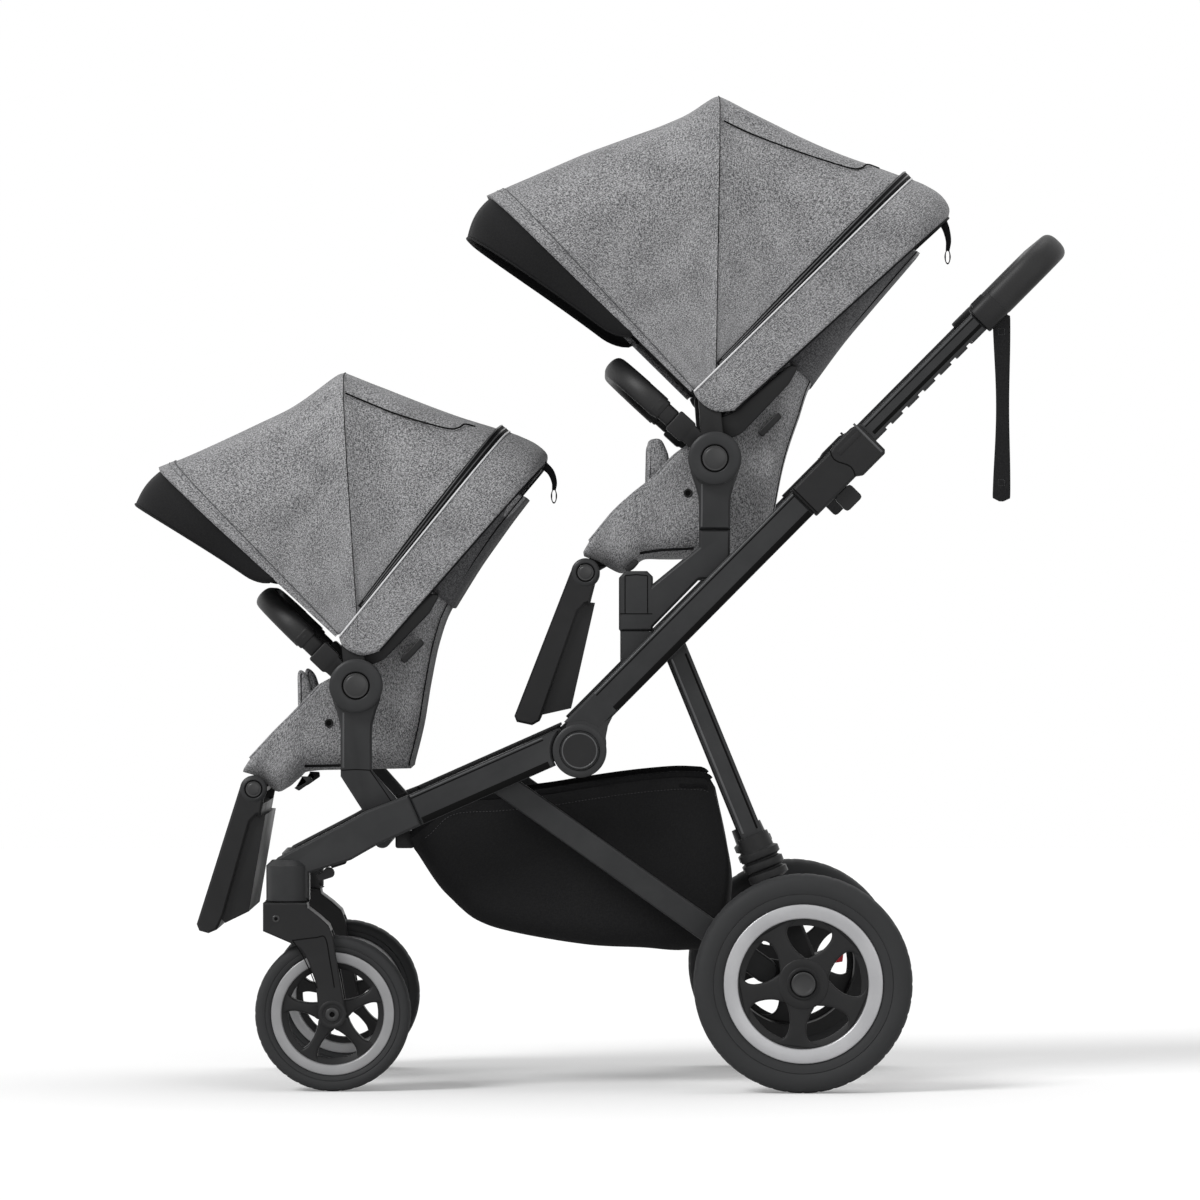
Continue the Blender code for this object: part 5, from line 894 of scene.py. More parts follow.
def walled(piece, thickness, inner=None):
    """Gives a sheet its thickness inwards, with another cloth on the inside where one is named."""
    wall = piece.modifiers.new("cloth_wall", "SOLIDIFY")
    wall.thickness, wall.offset = thickness, -1.0
    if inner:
        piece.data.materials.append(inner)
        wall.material_offset = 1
    return piece


def laid_on(grid, points, sign, lift=0.0008):
    """Side-view points laid on one side of a piece: each takes the outermost depth of the piece's
    four nearest points there, smoothed along the line by a quartic."""
    points = np.asarray(points, float)
    near = grid.reshape(-1, 3)
    near = near[near[:, 1] * sign > 0.02]
    gap = np.linalg.norm(near[None][..., [0, 2]] - points[:, None], axis=2)
    depth = np.abs(near[np.argsort(gap, axis=1)[:, :4]][..., 1]).max(1)
    t = np.linspace(-1, 1, len(points))
    y = np.polyval(np.polyfit(t, depth, 4), t)
    return at_depth(points, sign * (y + lift))


def stitches(name, path, outward, pitch, body):
    """A row of stitches: six-pointed flecks of thread, evenly spaced along a path."""
    path = np.asarray(path, float)
    length = run_along(path)
    at = np.arange(pitch / 2, length[-1], pitch)
    middle = np.stack([np.interp(at, length, path[:, i]) for i in range(3)], -1)
    ahead = unit(np.gradient(middle, axis=0))
    out = np.broadcast_to(np.asarray(outward, float), path.shape)
    out = np.stack([np.interp(at, length, out[:, i]) for i in range(3)], -1)
    side = np.cross(ahead, out)
    points = middle[:, None] + np.stack([-0.38 * pitch * ahead, 0.38 * pitch * ahead, -0.0005 * side,
                                         0.0005 * side, 0.0005 * out, -0.0005 * out], 1)
    pattern = np.array([(0, 2, 4), (2, 1, 4), (1, 3, 4), (3, 0, 4),
                        (2, 0, 5), (1, 2, 5), (3, 1, 5), (0, 3, 5)])
    faces = (pattern[None] + 6 * np.arange(len(at))[:, None, None]).reshape(-1, 3)
    mesh = bpy.data.meshes.new(name)
    mesh.from_pydata(points.reshape(-1, 3).tolist(), [], faces.tolist())
    mesh.materials.append(thread)
    piece = linked(name, mesh)
    return placed(piece, body) if body else piece


CREASES = {
    "fore": [(0.55, 0.20, 0.32, 0.024, -0.10), (0.72, 0.28, 0.26, 0.022, -0.06),
             (0.40, 0.12, 0.28, 0.022, 0.05), (0.80, 0.35, 0.18, 0.020, -0.10)],
    "aft": [(0.30, 0.31, 0.32, 0.024, 0.14), (0.42, 0.22, 0.30, 0.022, 0.10), (0.60, 0.14, 0.25, 0.020, 0.05),
            (0.20, 0.37, 0.20, 0.018, 0.16)]}
TAB_Y = -0.060
for label, seat in CANOPIES.items():
    home, count = seat["home"], 121
    seat_body = f"{label}_seat"
    front_home, seam_home = seat["front_home"], seat["seam_home"]
    fore = folds(hollow(fan_rows(front_home, seam_home, spline(seat["fore"], 60), count), home, 0.012),
                 both_sides(CREASES["fore"]), depth=0.0045)
    aft = folds(hollow(fan_rows(seam_home, seam_home, spline(seat["aft"], 44), count), home, 0.011),
                both_sides(CREASES["aft"]), depth=0.0068)
    rows = np.concatenate([fore, aft[1:]])
    fan = walled(surface(f"{label}_canopy_cloth", rows, grey_melange), 0.0022, lining)
    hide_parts(f"{label}_canopy_front")

    def with_the_fan(piece):
        """Bakes the piece's placement into its mesh."""
        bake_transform(piece)

    with_the_fan(fan)
    on_seam, outward = rows[len(fore) - 1], outward_of(rows)[len(fore) - 1]
    with_the_fan(swept(f"{label}_top_seam", on_seam + outward * 0.0002, oval(0.0006, 0.0005, 8), outward,
                       gap_and_shade_black))
    hem_rows = int(np.searchsorted(run_along(fore[:, count // 2]), 0.024)) + 1
    hem_out = outward_of(fore)[:hem_rows]
    hem = fore[:hem_rows] + hem_out * 0.0012
    hem_piece = walled(surface(f"{label}_front_hem", hem, grey_melange), 0.0010)
    with_the_fan(hem_piece)
    with_the_fan(stitches(f"{label}_hem_stitches", hem[-2] + hem_out[-2] * 0.0002, hem_out[-2], 0.0042, None))
    tip, behind = np.array(seat["fore"][0]), np.array(seat["fore"][1])
    tip = tip + (behind - tip) / np.linalg.norm(behind - tip) * 0.0036
    tip = tip - (tip - front_home) / np.linalg.norm(tip - front_home) * 0.0030
    points, outward = hoop(front_home, tip, CANOPY_HALF - 0.0030, CANOPY_CORNER, CROWN_RISE, 0.004, 100)
    with_the_fan(swept(f"{label}_hem_edge", points, oval(0.0042, 0.0036, 14), outward, grey_melange))
    with_the_fan(swept(f"{label}_hem_seam", hem[-1], oval(0.0007, 0.0005, 8), hem_out[-1],
                       charcoal_melange))
    for side, sign in SIDES:
        flap = laid_on(aft, spline(seat["flap"], 50), sign)
        out = unit(flap - np.array([home[0], 0, home[1]])) + np.array([0, sign, 0])
        with_the_fan(swept(f"{label}_flap_edge_{side}", flap, oval(0.0013, 0.0010, 8), out, gap_and_shade_black))

    crowns, feet = spline(seat["band"], 14), spline(seat["feet"], 14)
    rows = np.stack([hoop(foot, crown, CANOPY_HALF + 0.0006, CANOPY_CORNER, CROWN_RISE, 0.0, count)[0]
                     for foot, crown in zip(feet, crowns)])
    band = walled(surface(f"{label}_canopy_band", rows, grey_melange), 0.0030, lining)
    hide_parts(f"{label}_canopy_rear")
    placed(band, seat_body)
    edge_out = np.gradient(rows, axis=0)[-1]
    placed(swept(f"{label}_band_binding", rows[-1], oval(0.0017, 0.0013, 10), edge_out, black_tape),
           seat_body)
    drawn_in = rows[-1] + (rows[-1].mean(0) - rows[-1]) * 0.02
    under = np.stack([rows[-1], drawn_in - unit(edge_out) * 0.006])
    placed(walled(surface(f"{label}_band_facing", under, charcoal_melange), 0.0010), seat_body)

    foot, rear_tip = np.array(seat["feet"][0]), np.array(seat["band"][0])
    across = np.array([-(rear_tip - foot)[1], (rear_tip - foot)[0]])
    across /= np.linalg.norm(across)
    # The zip: a black tape, two thin lines in the lighter painted-highlight grey, and the reflective piping.
    for i, (offset, wide, high, begin, tape) in enumerate((
            (0.0078, 0.0070, 0.0010, 0.050, black_tape), (0.0132, 0.0009, 0.0016, 0.060, painted_highlight_grey),
            (0.0066, 0.0010, 0.0017, 0.053, painted_highlight_grey), (-0.0003, 0.0012, 0.0017, 0.001, reflective))):
        points, outward = hoop(foot + across * offset * 0.25, rear_tip + across * offset, CANOPY_HALF,
                               CANOPY_CORNER, CROWN_RISE, begin, 140)
        reach = (points[:, [0, 2]] - foot) @ (rear_tip - foot) / np.sum((rear_tip - foot) ** 2)
        grow = (0.40 + 0.60 * np.clip(reach / 0.5, 0, 1))[:, None, None] if i == 0 else np.ones((140, 1, 1))
        section = np.broadcast_to(oval(wide, high, 12, 0.6), (len(points), 12, 2)) * np.concatenate(
            [grow, np.ones_like(grow)], 2)
        placed(swept(f"{label}_zip_{i}", points + outward * 0.0006, section, outward, tape), seat_body)
    tab = spline(at_depth(seat["tab"], TAB_Y), 24)
    taper = np.linspace(1, 0.45, 24)[:, None, None]
    placed(swept(f"{label}_rear_tab", tab, oval(0.0062, 0.0016, 12, 0.7)[None] * taper, (0, 1, 0),
                 black_tape), seat_body)
    turn = np.linspace(0, 2 * np.pi, 40, endpoint=False)
    ring = np.stack([tab[-1, 0] + 0.0034 * np.sin(turn), TAB_Y + 0 * turn,
                     tab[-1, 2] - 0.0085 + 0.0095 * np.cos(turn)], -1)
    section = oval(0.0012, 0.0012, 8)[None]
    grid = (ring[:, None] + section[..., :1] * np.array([0, 1, 0])
            + section[..., 1:] * unit(ring - ring.mean(0))[:, None])
    placed(surface(f"{label}_rear_loop", grid, black_tape, wrap=True, loop=True), seat_body)

    bow = np.array(seat["fore"][0]) - np.array(home)
    span = np.linalg.norm(bow)
    bow /= span
    ahead = np.array([-bow[1], bow[0]])
    layers = []
    for share in np.linspace(-0.12, 1.0, 16):
        reach_out = (span - 0.0045) * (1 - seat["visor_draw"] * max(share, 0) ** 1.5)
        points, outward = hoop(home, np.array(home) + bow * reach_out, CANOPY_HALF - 0.0045,
                               CANOPY_CORNER - 0.006, CROWN_RISE, seat["visor_from"], count)
        reach = (points[:, [0, 2]] - np.array(home)) @ bow
        rise = np.clip((reach - seat["visor_from"]) / (span - seat["visor_from"]), 0, 1)
        ease = np.sqrt(1 - (1 - np.clip(rise / 0.16, 0, 1)) ** 2)
        width = (seat["visor_side"] + (seat["visor"] - seat["visor_side"]) * rise ** 1.3) * ease + 0.0005
        step = (width * share)[:, None] * np.array([ahead[0], 0, ahead[1]])[None]
        layers.append(points + step + outward * 0.004 * np.sin(np.pi * max(share, 0)))
    layers = np.stack(layers)
    visor = walled(surface(f"{label}_sun_visor", layers, black_cloth), 0.0026)
    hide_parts(f"{label}_visor")
    placed(visor, f"{label}_visor")
    placed(swept(f"{label}_visor_edge", layers[-1], oval(0.0015, 0.0015, 10), outward, black_cloth),
           f"{label}_visor")

# Seats: a padded fabric bucket sewn over a frame, with a deep seat, a back and side wings. The
# back's outside is a darker cloth, partly painted shade where the back lies in shadow behind the
# canopy band, and a quilted liner and a five-point harness lie inside.
SEATS = {
    "upper": dict(
        half=0.165,
        rim=[(-0.0231, 0.7404), (-0.0030, 0.7645), (0.0216, 0.7942), (0.0481, 0.8184), (0.0749, 0.8400),
             (0.0961, 0.8626), (0.1117, 0.8767), (0.1388, 0.8943), (0.1696, 0.9188), (0.1730, 0.9215),
             (0.1752, 0.9245), (0.1952, 0.9516), (0.2193, 0.9818), (0.2475, 1.0120), (0.2716, 1.0382),
             (0.3461, 1.1166), (0.4064, 1.1730)],
        floor=[(-0.0226, 0.7374), (-0.0020, 0.7288), (0.0295, 0.7130), (0.0473, 0.7213), (0.0624, 0.7323),
               (0.0855, 0.7328), (0.1137, 0.7328), (0.1791, 0.7354), (0.2275, 0.7378), (0.2330, 0.7388),
               (0.2342, 0.7450), (0.2435, 0.8008), (0.2565, 0.8651), (0.2756, 0.9235), (0.3018, 0.9879),
               (0.3823, 1.0844), (0.4447, 1.1569)],
        cover=[(0.2950, 0.9750, 0.2500, 1.0140), (0.3400, 1.0360, 0.3060, 1.0740),
               (0.380, 1.0840, 0.344, 1.114), (0.4180, 1.1280, 0.3800, 1.1480),
               (0.4420, 1.1560, 0.4080, 1.1720)],
        hole=(0.122, 0.823), strip=[(0.0560, 0.7400), (0.0850, 0.7440), (0.1300, 0.7465)],
        hook=[(0.0340, 0.7190), (0.0505, 0.7310), (0.0545, 0.7270), (0.0480, 0.7190), (0.0370, 0.7130)],
        wing=[(0.0640, 0.8250), (0.0655, 0.8930), (0.0700, 0.8985), (0.0850, 0.9000), (0.0960, 0.8760),
              (0.0960, 0.8400)]),
    "lower": dict(
        half=0.150,
        rim=[(-0.4949, 0.4394), (-0.4742, 0.4617), (-0.4499, 0.4880), (-0.4246, 0.5132), (-0.4024, 0.5365),
             (-0.3882, 0.5517), (-0.3690, 0.5628), (-0.3488, 0.5769), (-0.3315, 0.5942), (-0.3296, 0.5961),
             (-0.3276, 0.5983), (-0.3094, 0.6184), (-0.2871, 0.6447), (-0.2629, 0.6710), (-0.2386, 0.6993),
             (-0.1779, 0.7761), (-0.1314, 0.8287)],
        floor=[(-0.4954, 0.4364), (-0.4752, 0.4283), (-0.4490, 0.4080), (-0.4300, 0.4195),
               (-0.4145, 0.4334), (-0.3943, 0.4374), (-0.3640, 0.4384), (-0.3134, 0.4394),
               (-0.2690, 0.4402), (-0.2635, 0.4412), (-0.2622, 0.4470), (-0.2497, 0.4981),
               (-0.2396, 0.5587), (-0.2265, 0.6194), (-0.2062, 0.6699), (-0.1516, 0.7539),
               (-0.1031, 0.8165)],
        cover=[(-0.2060, 0.6650, -0.2400, 0.6940), (-0.1720, 0.7200, -0.2040, 0.7440),
               (-0.1470, 0.7560, -0.1800, 0.7720), (-0.1240, 0.7880, -0.1540, 0.8040),
               (-0.1020, 0.8170, -0.1280, 0.8300)],
        hole=(-0.3760, 0.5040), strip=[(-0.4100, 0.4440), (-0.3850, 0.4445), (-0.3600, 0.4450)],
        hook=[(-0.4155, 0.4300), (-0.4010, 0.4295), (-0.4000, 0.4225), (-0.4180, 0.4100), (-0.4250, 0.4140),
              (-0.4085, 0.4225)],
        wing=[(-0.4200, 0.5150), (-0.4210, 0.5740), (-0.4165, 0.5790), (-0.4060, 0.5700), (-0.3990, 0.5480),
              (-0.3990, 0.5250)]),
}


def bucket_rows(rim, floor, half, wall, corner, count):
    """Closed loops of a padded U: down the outer side, across the floor, up the other side, over a
    rounded rim and back along the inside."""
    rows = []
    for side, low in zip(rim, floor):
        depth = max(float(np.linalg.norm(low - side)), 0.003)
        down = (low - side) / depth
        bend = min(corner, 0.8 * depth)
        inner = max(bend - wall, 0.25 * bend)
        lift = min(wall, 0.6 * depth)
        outer_turn = arc_points(half - bend, depth - bend, bend, bend, 0, 90, 12)
        inner_turn = arc_points(half - wall - inner, depth - lift - min(inner, depth - lift), inner,
                                min(inner, depth - lift), 90, 0, 12)
        lip = arc_points(half - wall / 2, 0.0, wall / 2, min(wall * 0.35, 0.4 * depth), -180, 0, 9)
        half_loop = np.vstack([lip, outer_turn, [(0.0, depth)]])
        inside_half = np.vstack([np.stack([-inner_turn[::-1, 0], inner_turn[::-1, 1]], -1),
                                 [(0.0, depth - lift)], inner_turn])
        y, deep = evenly(np.vstack([with_mirror(half_loop), inside_half, half_loop[:1]]), count,
                         endpoint=False)
        rows.append(np.stack([side[0] + deep * down[0], y, side[1] + deep * down[1]], -1))
    return np.stack(rows)


def inset(outline, amount):
    """A polygon moved inwards by an amount: each corner goes along the sum of its edges' normals."""
    p = np.asarray(outline, float)
    a, b = p - np.roll(p, 1, 0), np.roll(p, -1, 0) - p
    turned_way = np.sign(np.sum(p[:, 0] * np.roll(p[:, 1], -1) - p[:, 1] * np.roll(p[:, 0], -1)))
    na = np.stack([-a[:, 1], a[:, 0]], -1) / np.linalg.norm(a, axis=1, keepdims=True)
    nb = np.stack([-b[:, 1], b[:, 0]], -1) / np.linalg.norm(b, axis=1, keepdims=True)
    miter = (na + nb) / np.maximum(1 + (na * nb).sum(1, keepdims=True), 0.4)
    return p + miter * amount * turned_way


def soft_corners(outline, radius, steps=4):
    """A polygon with each corner replaced by a quadratic curve that starts a radius before it."""
    p = np.asarray(outline, float)
    before, after = np.roll(p, 1, 0) - p, np.roll(p, -1, 0) - p
    la, lb = np.linalg.norm(before, axis=1, keepdims=True), np.linalg.norm(after, axis=1, keepdims=True)
    a = p + before / la * np.minimum(radius, 0.45 * la)
    b = p + after / lb * np.minimum(radius, 0.45 * lb)
    t = np.linspace(0, 1, steps)[None, :, None]
    return ((1 - t) ** 2 * a[:, None] + 2 * t * (1 - t) * p[:, None] + t ** 2 * b[:, None]).reshape(-1, 2)


def plate(name, outline, near, far, edge, finish, body):
    """An outline carried along Y from a near to a far face, drawn in at both ends to round them."""
    sign = math.copysign(1, far - near)
    rows = []
    for drawn, step in ((edge, 0.0), (0.3 * edge, 0.3 * edge), (0.0, edge)):
        flat = inset(outline, drawn)
        rows.append((flat, near + sign * step))
    rows += [(flat, far - (y - near)) for flat, y in reversed(rows)]
    grid = np.stack([at_depth(flat, y) for flat, y in rows])
    return placed(surface(name, grid, finish, wrap=True, caps="flat"), body)


BACK_FOOT = 62                      # the row of 110 where the back begins
LINER_ROWS = slice(16, 106)
BUCKLE_ROW = 24                     # of the liner's rows, as are those of the straps
for label, seat in SEATS.items():
    body, half = f"{label}_seat", seat["half"]
    rim, floor = spline(seat["rim"], 110), spline(seat["floor"], 110)
    rows = bucket_rows(rim, floor, half, wall=0.016, corner=0.040, count=150)
    shell = surface(f"{label}_seat_bucket", rows, grey_melange, wrap=True, caps="flat")
    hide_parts(f"{label}_seat_shell")
    placed(shell, body)

    # Charcoal cloth over the top of the back: the cloth's own darker colour, and also painted shade where the
    # back lies in shadow behind the band.
    cover = np.array(seat["cover"], float)
    low, high = spline(cover[:, :2], 30), spline(cover[:, 2:], 30)
    grid = []
    for near_floor, near_rim in zip(low, high):
        depth = float(np.linalg.norm(near_floor - near_rim))
        down = (near_floor - near_rim) / depth
        corner = arc_points(half + 0.0015 - 0.040, depth + 0.002 - 0.030, 0.040, 0.030, 0, 90, 12)
        y, deep = evenly(with_mirror(np.vstack([[(half + 0.0015, 0.0)], corner, [(0.0, depth + 0.003)]])), 81)
        grid.append(np.stack([near_rim[0] + deep * down[0], y, near_rim[1] + deep * down[1]], -1))
    grid = np.stack(grid)
    back_cloth_and_shade = walled(surface(f"{label}_back_cloth_and_shade", grid, charcoal_melange), 0.0022)
    placed(back_cloth_and_shade, body)

    for side, sign in SIDES:
        edge = laid_on(rows, (floor + unit(rim - floor, 1e-9) * 0.0050)[BACK_FOOT:], sign, 0.0004)
        strip(f"{label}_back_seam_{side}", edge, 0.0008, 0.0008, (0, sign, 0), gap_and_shade_black, body)
        top = at_depth(rim, sign * (half - 0.008))[4:]
        ahead = np.gradient(top, axis=0)
        up = unit(np.stack([-ahead[:, 2], 0 * ahead[:, 0], ahead[:, 0]], -1))
        strip(f"{label}_rim_piping_{side}", top + up * 0.0044, 0.0022, 0.0018, up, grey_melange, body)
        strip_line = laid_on(rows, spline(seat["strip"], 12), sign, 0.0004)
        strip(f"{label}_base_tape_{side}", strip_line, 0.0019, 0.0010, (0, sign, 0), black_tape, body)
        turned(f"{label}_eyelet_{side}", seat["hole"], sign * half, sign, [
            (0.0036, -0.001), (0.0062, -0.001), (0.0062, 0.0006), (0.0054, 0.0010), (0.0042, 0.0008),
            (0.0036, 0.0002)], black_plastic, body, ring=True, steps=32)
        turned(f"{label}_eyelet_hole_{side}", seat["hole"], sign * half, sign, [
            (0.001, -0.001), (0.0040, -0.001), (0.0040, 0.0003), (0.001, 0.0003)], gap_and_shade_black, body,
            steps=32)
        plate(f"{label}_base_hook_{side}", soft_corners(seat["hook"], 0.0015, 3), sign * (half - 0.022),
              sign * (half - 0.006), 0.0010, black_plastic, body)
        plate(f"{label}_inner_wing_{side}", soft_corners(seat["wing"], 0.008), sign * (half - 0.040),
              sign * (half - 0.022), 0.005, grey_melange, body)

    reach = np.linalg.norm(rim - floor, axis=1)
    lift = np.minimum(0.024, reach * 0.55)[:, None]
    line = floor + (rim - floor) / np.maximum(reach, 1e-6)[:, None] * lift
    path = at_depth(line[LINER_ROWS], 0.0)
    inward = unit(at_depth((rim - floor)[LINER_ROWS], 0.0))
    run = run_along(path)
    channel = 1 - 0.42 * np.exp(-((run % 0.062 - 0.031) / 0.0045) ** 2)
    ends = np.sqrt(np.clip(np.minimum(run, run[-1] - run) / 0.02, 0.02, 1))
    section = oval(half - 0.036, 0.0085, 40, 0.42)
    swell = np.stack([ends, channel * ends], -1)[:, None]
    pad = swept(f"{label}_seat_liner", path, section[None] * swell, inward, grey_melange)
    placed(pad, body)

    # The harness: shoulder straps from the back, lap straps from the sides and a crotch strap meet at
    # a round buckle on the seat.
    scale = half / 0.165
    lies = path + inward * 0.0102
    buckle = lies[BUCKLE_ROW] + inward[BUCKLE_ROW] * 0.014
    for side, sign in SIDES:
        k = np.linspace(0, 1, 40)
        idx = np.clip((BUCKLE_ROW + k * 44).astype(int), 0, len(lies) - 1)
        away = inward[idx]
        strap = lies[idx] + away * (0.003 + 0.016 * np.exp(-(k / 0.18) ** 2))[:, None]
        strap[:, 1] = sign * (0.010 + 0.045 * scale * np.minimum(k / 0.55, 1) ** 0.8)
        strip(f"{label}_shoulder_strap_{side}", strap, 0.0115, 0.0011, away, webbing, body, 0.4)
        pad_part = (k > 0.42) & (k < 0.92)
        strip(f"{label}_shoulder_pad_{side}", strap[pad_part] + away[pad_part] * 0.003, 0.0190, 0.0040,
              away[pad_part], black_cloth, body, 0.55, 20)
        k = np.linspace(0, 1, 24)
        anchor = lies[40] + np.array([0, sign * (half - 0.045), 0])
        lap = buckle[None] * (1 - k)[:, None] + anchor[None] * k[:, None]
        lap[:, 1] += sign * 0.012 * (1 - k)
        lap += inward[32] * (0.012 * np.sin(np.pi * k))[:, None]
        strip(f"{label}_lap_strap_{side}", lap, 0.0105, 0.0011, inward[32], webbing, body, 0.4)
    k = np.linspace(0, 1, 20)[:, None]
    strap = lies[13] * (1 - k) + buckle * k + inward[18] * 0.006 * np.sin(np.pi * k)
    strip(f"{label}_crotch_strap", strap, 0.0125, 0.0012, inward[18], webbing, body, 0.4)
    t = 2 * np.pi * np.arange(32) / 32
    face = inward[BUCKLE_ROW]
    round_it = np.cos(t)[:, None] * np.array([0.0, 1.0, 0.0]) + np.sin(t)[:, None] * np.cross(face, [0, 1, 0])
    rings = [buckle + radius * round_it + face * high for radius, high in (
        (0.004, -0.006), (0.0185, -0.006), (0.0205, -0.003), (0.0205, 0.002), (0.0180, 0.0052),
        (0.0125, 0.0062), (0.0118, 0.0048), (0.004, 0.0052))]
    placed(surface(f"{label}_harness_buckle", np.stack(rings), black_plastic, wrap=True, caps="fan"), body)

# Seat plastics: black moulded brackets beside the hubs, stays that carry the canopy, sockets for the
# bumper bar and a bar with webs at the foot of the bucket; screwed and pressed on the seat's frame.
PLASTICS = {
    "upper": dict(hub=UPPER_HUB, home=(0.150, 0.960), half=0.170, round=0.030, foot=UPPER_FOOT_HUB,
                  socket=(0.102, 0.924), angle=137.6,
                  bracket=[(0.170, 0.895), (0.196, 0.905), (0.262, 0.974), (0.275, 0.998), (0.262, 1.000),
                           (0.232, 0.975), (0.185, 0.935), (0.160, 0.925)],
                  tab=[(0.2245, 0.900), (0.252, 0.928), (0.246, 0.9345), (0.218, 0.9065)]),
    "lower": dict(hub=LOWER_HUB, home=(-0.343, 0.617), half=0.155, round=0.029, foot=LOWER_FOOT_HUB,
                  socket=(-0.390, 0.605), angle=136.0,
                  bracket=[(-0.324, 0.582), (-0.300, 0.592), (-0.236, 0.657), (-0.222, 0.682),
                           (-0.235, 0.684), (-0.264, 0.660), (-0.309, 0.622), (-0.334, 0.610)],
                  tab=[(-0.2700, 0.587), (-0.2425, 0.615), (-0.2485, 0.6215), (-0.2765, 0.5935)]),
}


def disc_outline(centre, radius, start=0.0, end=360.0, count=40):
    """Points on an arc of a circle in the side view."""
    t = np.radians(np.linspace(start, end, count, endpoint=abs(end - start) < 360))
    return np.stack([centre[0] + radius * np.cos(t), centre[1] + radius * np.sin(t)], -1)


def stay(a, b, ra, rb):
    """The outline of a bar with round ends between two points, wider at one end than the other."""
    a, b = np.array(a, float), np.array(b, float)
    turn = math.degrees(math.atan2(*(b - a)[::-1]))
    return np.vstack([disc_outline(b, rb, turn - 90, turn + 90, 14),
                      disc_outline(a, ra, turn + 90, turn + 270, 14)])


for label, seat in PLASTICS.items():
    body, half = f"{label}_seat", seat["half"]
    arm = side_axis(seat["socket"], seat["angle"])
    holder = [(-0.070, -0.0125), (-0.028, -0.0135), (-0.026, -0.0165), (0.001, -0.0165),
              (0.001, 0.0165), (-0.026, 0.0165), (-0.028, 0.0135), (-0.070, 0.0125)]
    holder = soft_corners(np.stack(arm(*np.array(holder).T), -1), 0.003, 3)
    for side, sign in SIDES:
        for part, outline, into, face, edge in (
                ("hub_plate", disc_outline(seat["hub"], seat["round"]), 0.010, 0.1955, 0.0015),
                ("canopy_stay", stay(seat["hub"], seat["home"], 0.016, 0.0145), 0.006, 0.1960, 0.0012),
                ("bumper_socket", holder, 0.008, 0.1950, 0.0020),
                ("back_bracket", soft_corners(seat["bracket"], 0.005), 0.006, 0.1880, 0.0015),
                ("back_tab", soft_corners(seat["tab"], 0.003), 0.004, 0.1915, 0.0012)):
            plate(f"{label}_{part}_{side}", outline, sign * (half - into), sign * face, edge, black_plastic,
                  body)
        turned(f"{label}_stay_pin_{side}", seat["home"], sign * 0.1960, sign, [
            (0.001, 0.0010), (0.0030, 0.0010), (0.0034, 0.0016), (0.0058, 0.0014), (0.0066, 0.0004),
            (0.0066, -0.002)][::-1], button_grey, body, steps=32)
    path = at_depth([seat["foot"]] * 9, np.linspace(-half, half, 9))
    strip(f"{label}_foot_bar", path, 0.0118, 0.0118, (0, 0, 1), black_plastic, body, 1.0, 24)
    web = np.array(seat["foot"]) + [(-0.006, 0.003), (0.008, -0.003), (0.034, 0.012), (0.006, 0.022)]
    plate(f"{label}_foot_web", soft_corners(web, 0.004), -0.6 * half, 0.6 * half, 0.003, black_plastic, body)

# Bumper bars: an aluminium core in padded leatherette with one seam, pressed into stepped plastic
# ends that slide into the seat's sockets.
leatherette = moulded("black_leatherette", (0.0120, 0.0120, 0.0124), (0.0175, 0.0175, 0.0180), 0.40, 0.54,
                      grain=620.0, depth=0.35, gloss=0.28)


def u_path(axis, start, length, half, corner, count=24):
    """A U in the plane of a side-view axis and Y: straight sides, quarter circles and a crown."""
    turn = arc_points(half - corner, length - corner, corner, corner, 0, 90, count)
    side = np.stack([np.full(count, half), np.linspace(0, length - corner, count)], -1)[:-1]
    crown = np.stack([np.linspace(half - corner, 0, count), np.full(count, length)], -1)[1:]
    line = with_mirror(np.vstack([side, turn, crown]))
    x, z = axis(start + line[:, 1])
    return np.stack([x, line[:, 0], z], -1), start + line[:, 1]


def normal_of(angle):
    """The direction that stands on a side-view axis of an angle in degrees."""
    return np.array([-math.sin(math.radians(angle)), 0, math.cos(math.radians(angle))])


def banded(name, axis, at, y, section, growth, up, body):
    """A black moulded collar round an axis: one section, grown or drawn in at each station."""
    x, z = axis(np.asarray(at))
    line = np.stack([x, y + 0 * x, z], -1)
    placed(swept(name, line, section[None] * np.array(growth)[:, None, None], up, black_plastic), body)


for label, seat in PLASTICS.items():
    axis, body = side_axis(seat["socket"], seat["angle"]), f"{label}_bumper"
    length, half = (0.110, 0.180) if label == "upper" else (0.105, 0.165)
    normal = normal_of(seat["angle"])
    path, station = u_path(axis, 0.0, length, half, corner=0.085)
    padded_part = station > 0.024
    bar = swept(f"{label}_bumper_padding", path[padded_part], oval(0.0105, 0.0166, 28, 0.9), normal,
                leatherette)
    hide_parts(f"{label}_bumper_bar")
    placed(bar, body)
    inner = path[padded_part][6:-6]
    strip(f"{label}_bumper_seam", inner - normal * 0.0165, 0.0009, 0.0005, -normal, gap_and_shade_black, body)
    for side, sign in SIDES:
        for part, begin, end, wide, thick in (("tongue", 0.0008, 0.0200, 0.0130, 0.0092),
                                              ("cuff", 0.0185, 0.0345, 0.0150, 0.0100)):
            banded(f"{label}_bumper_{part}_{side}", axis,
                   [begin, begin + 0.0014, begin + 0.0014 + 0.001, end - 0.0024, end - 0.0014, end],
                   sign * half, oval(thick, wide, 28, 0.6), [0.90, 0.985, 1.0, 1.0, 0.985, 0.90], normal,
                   body)

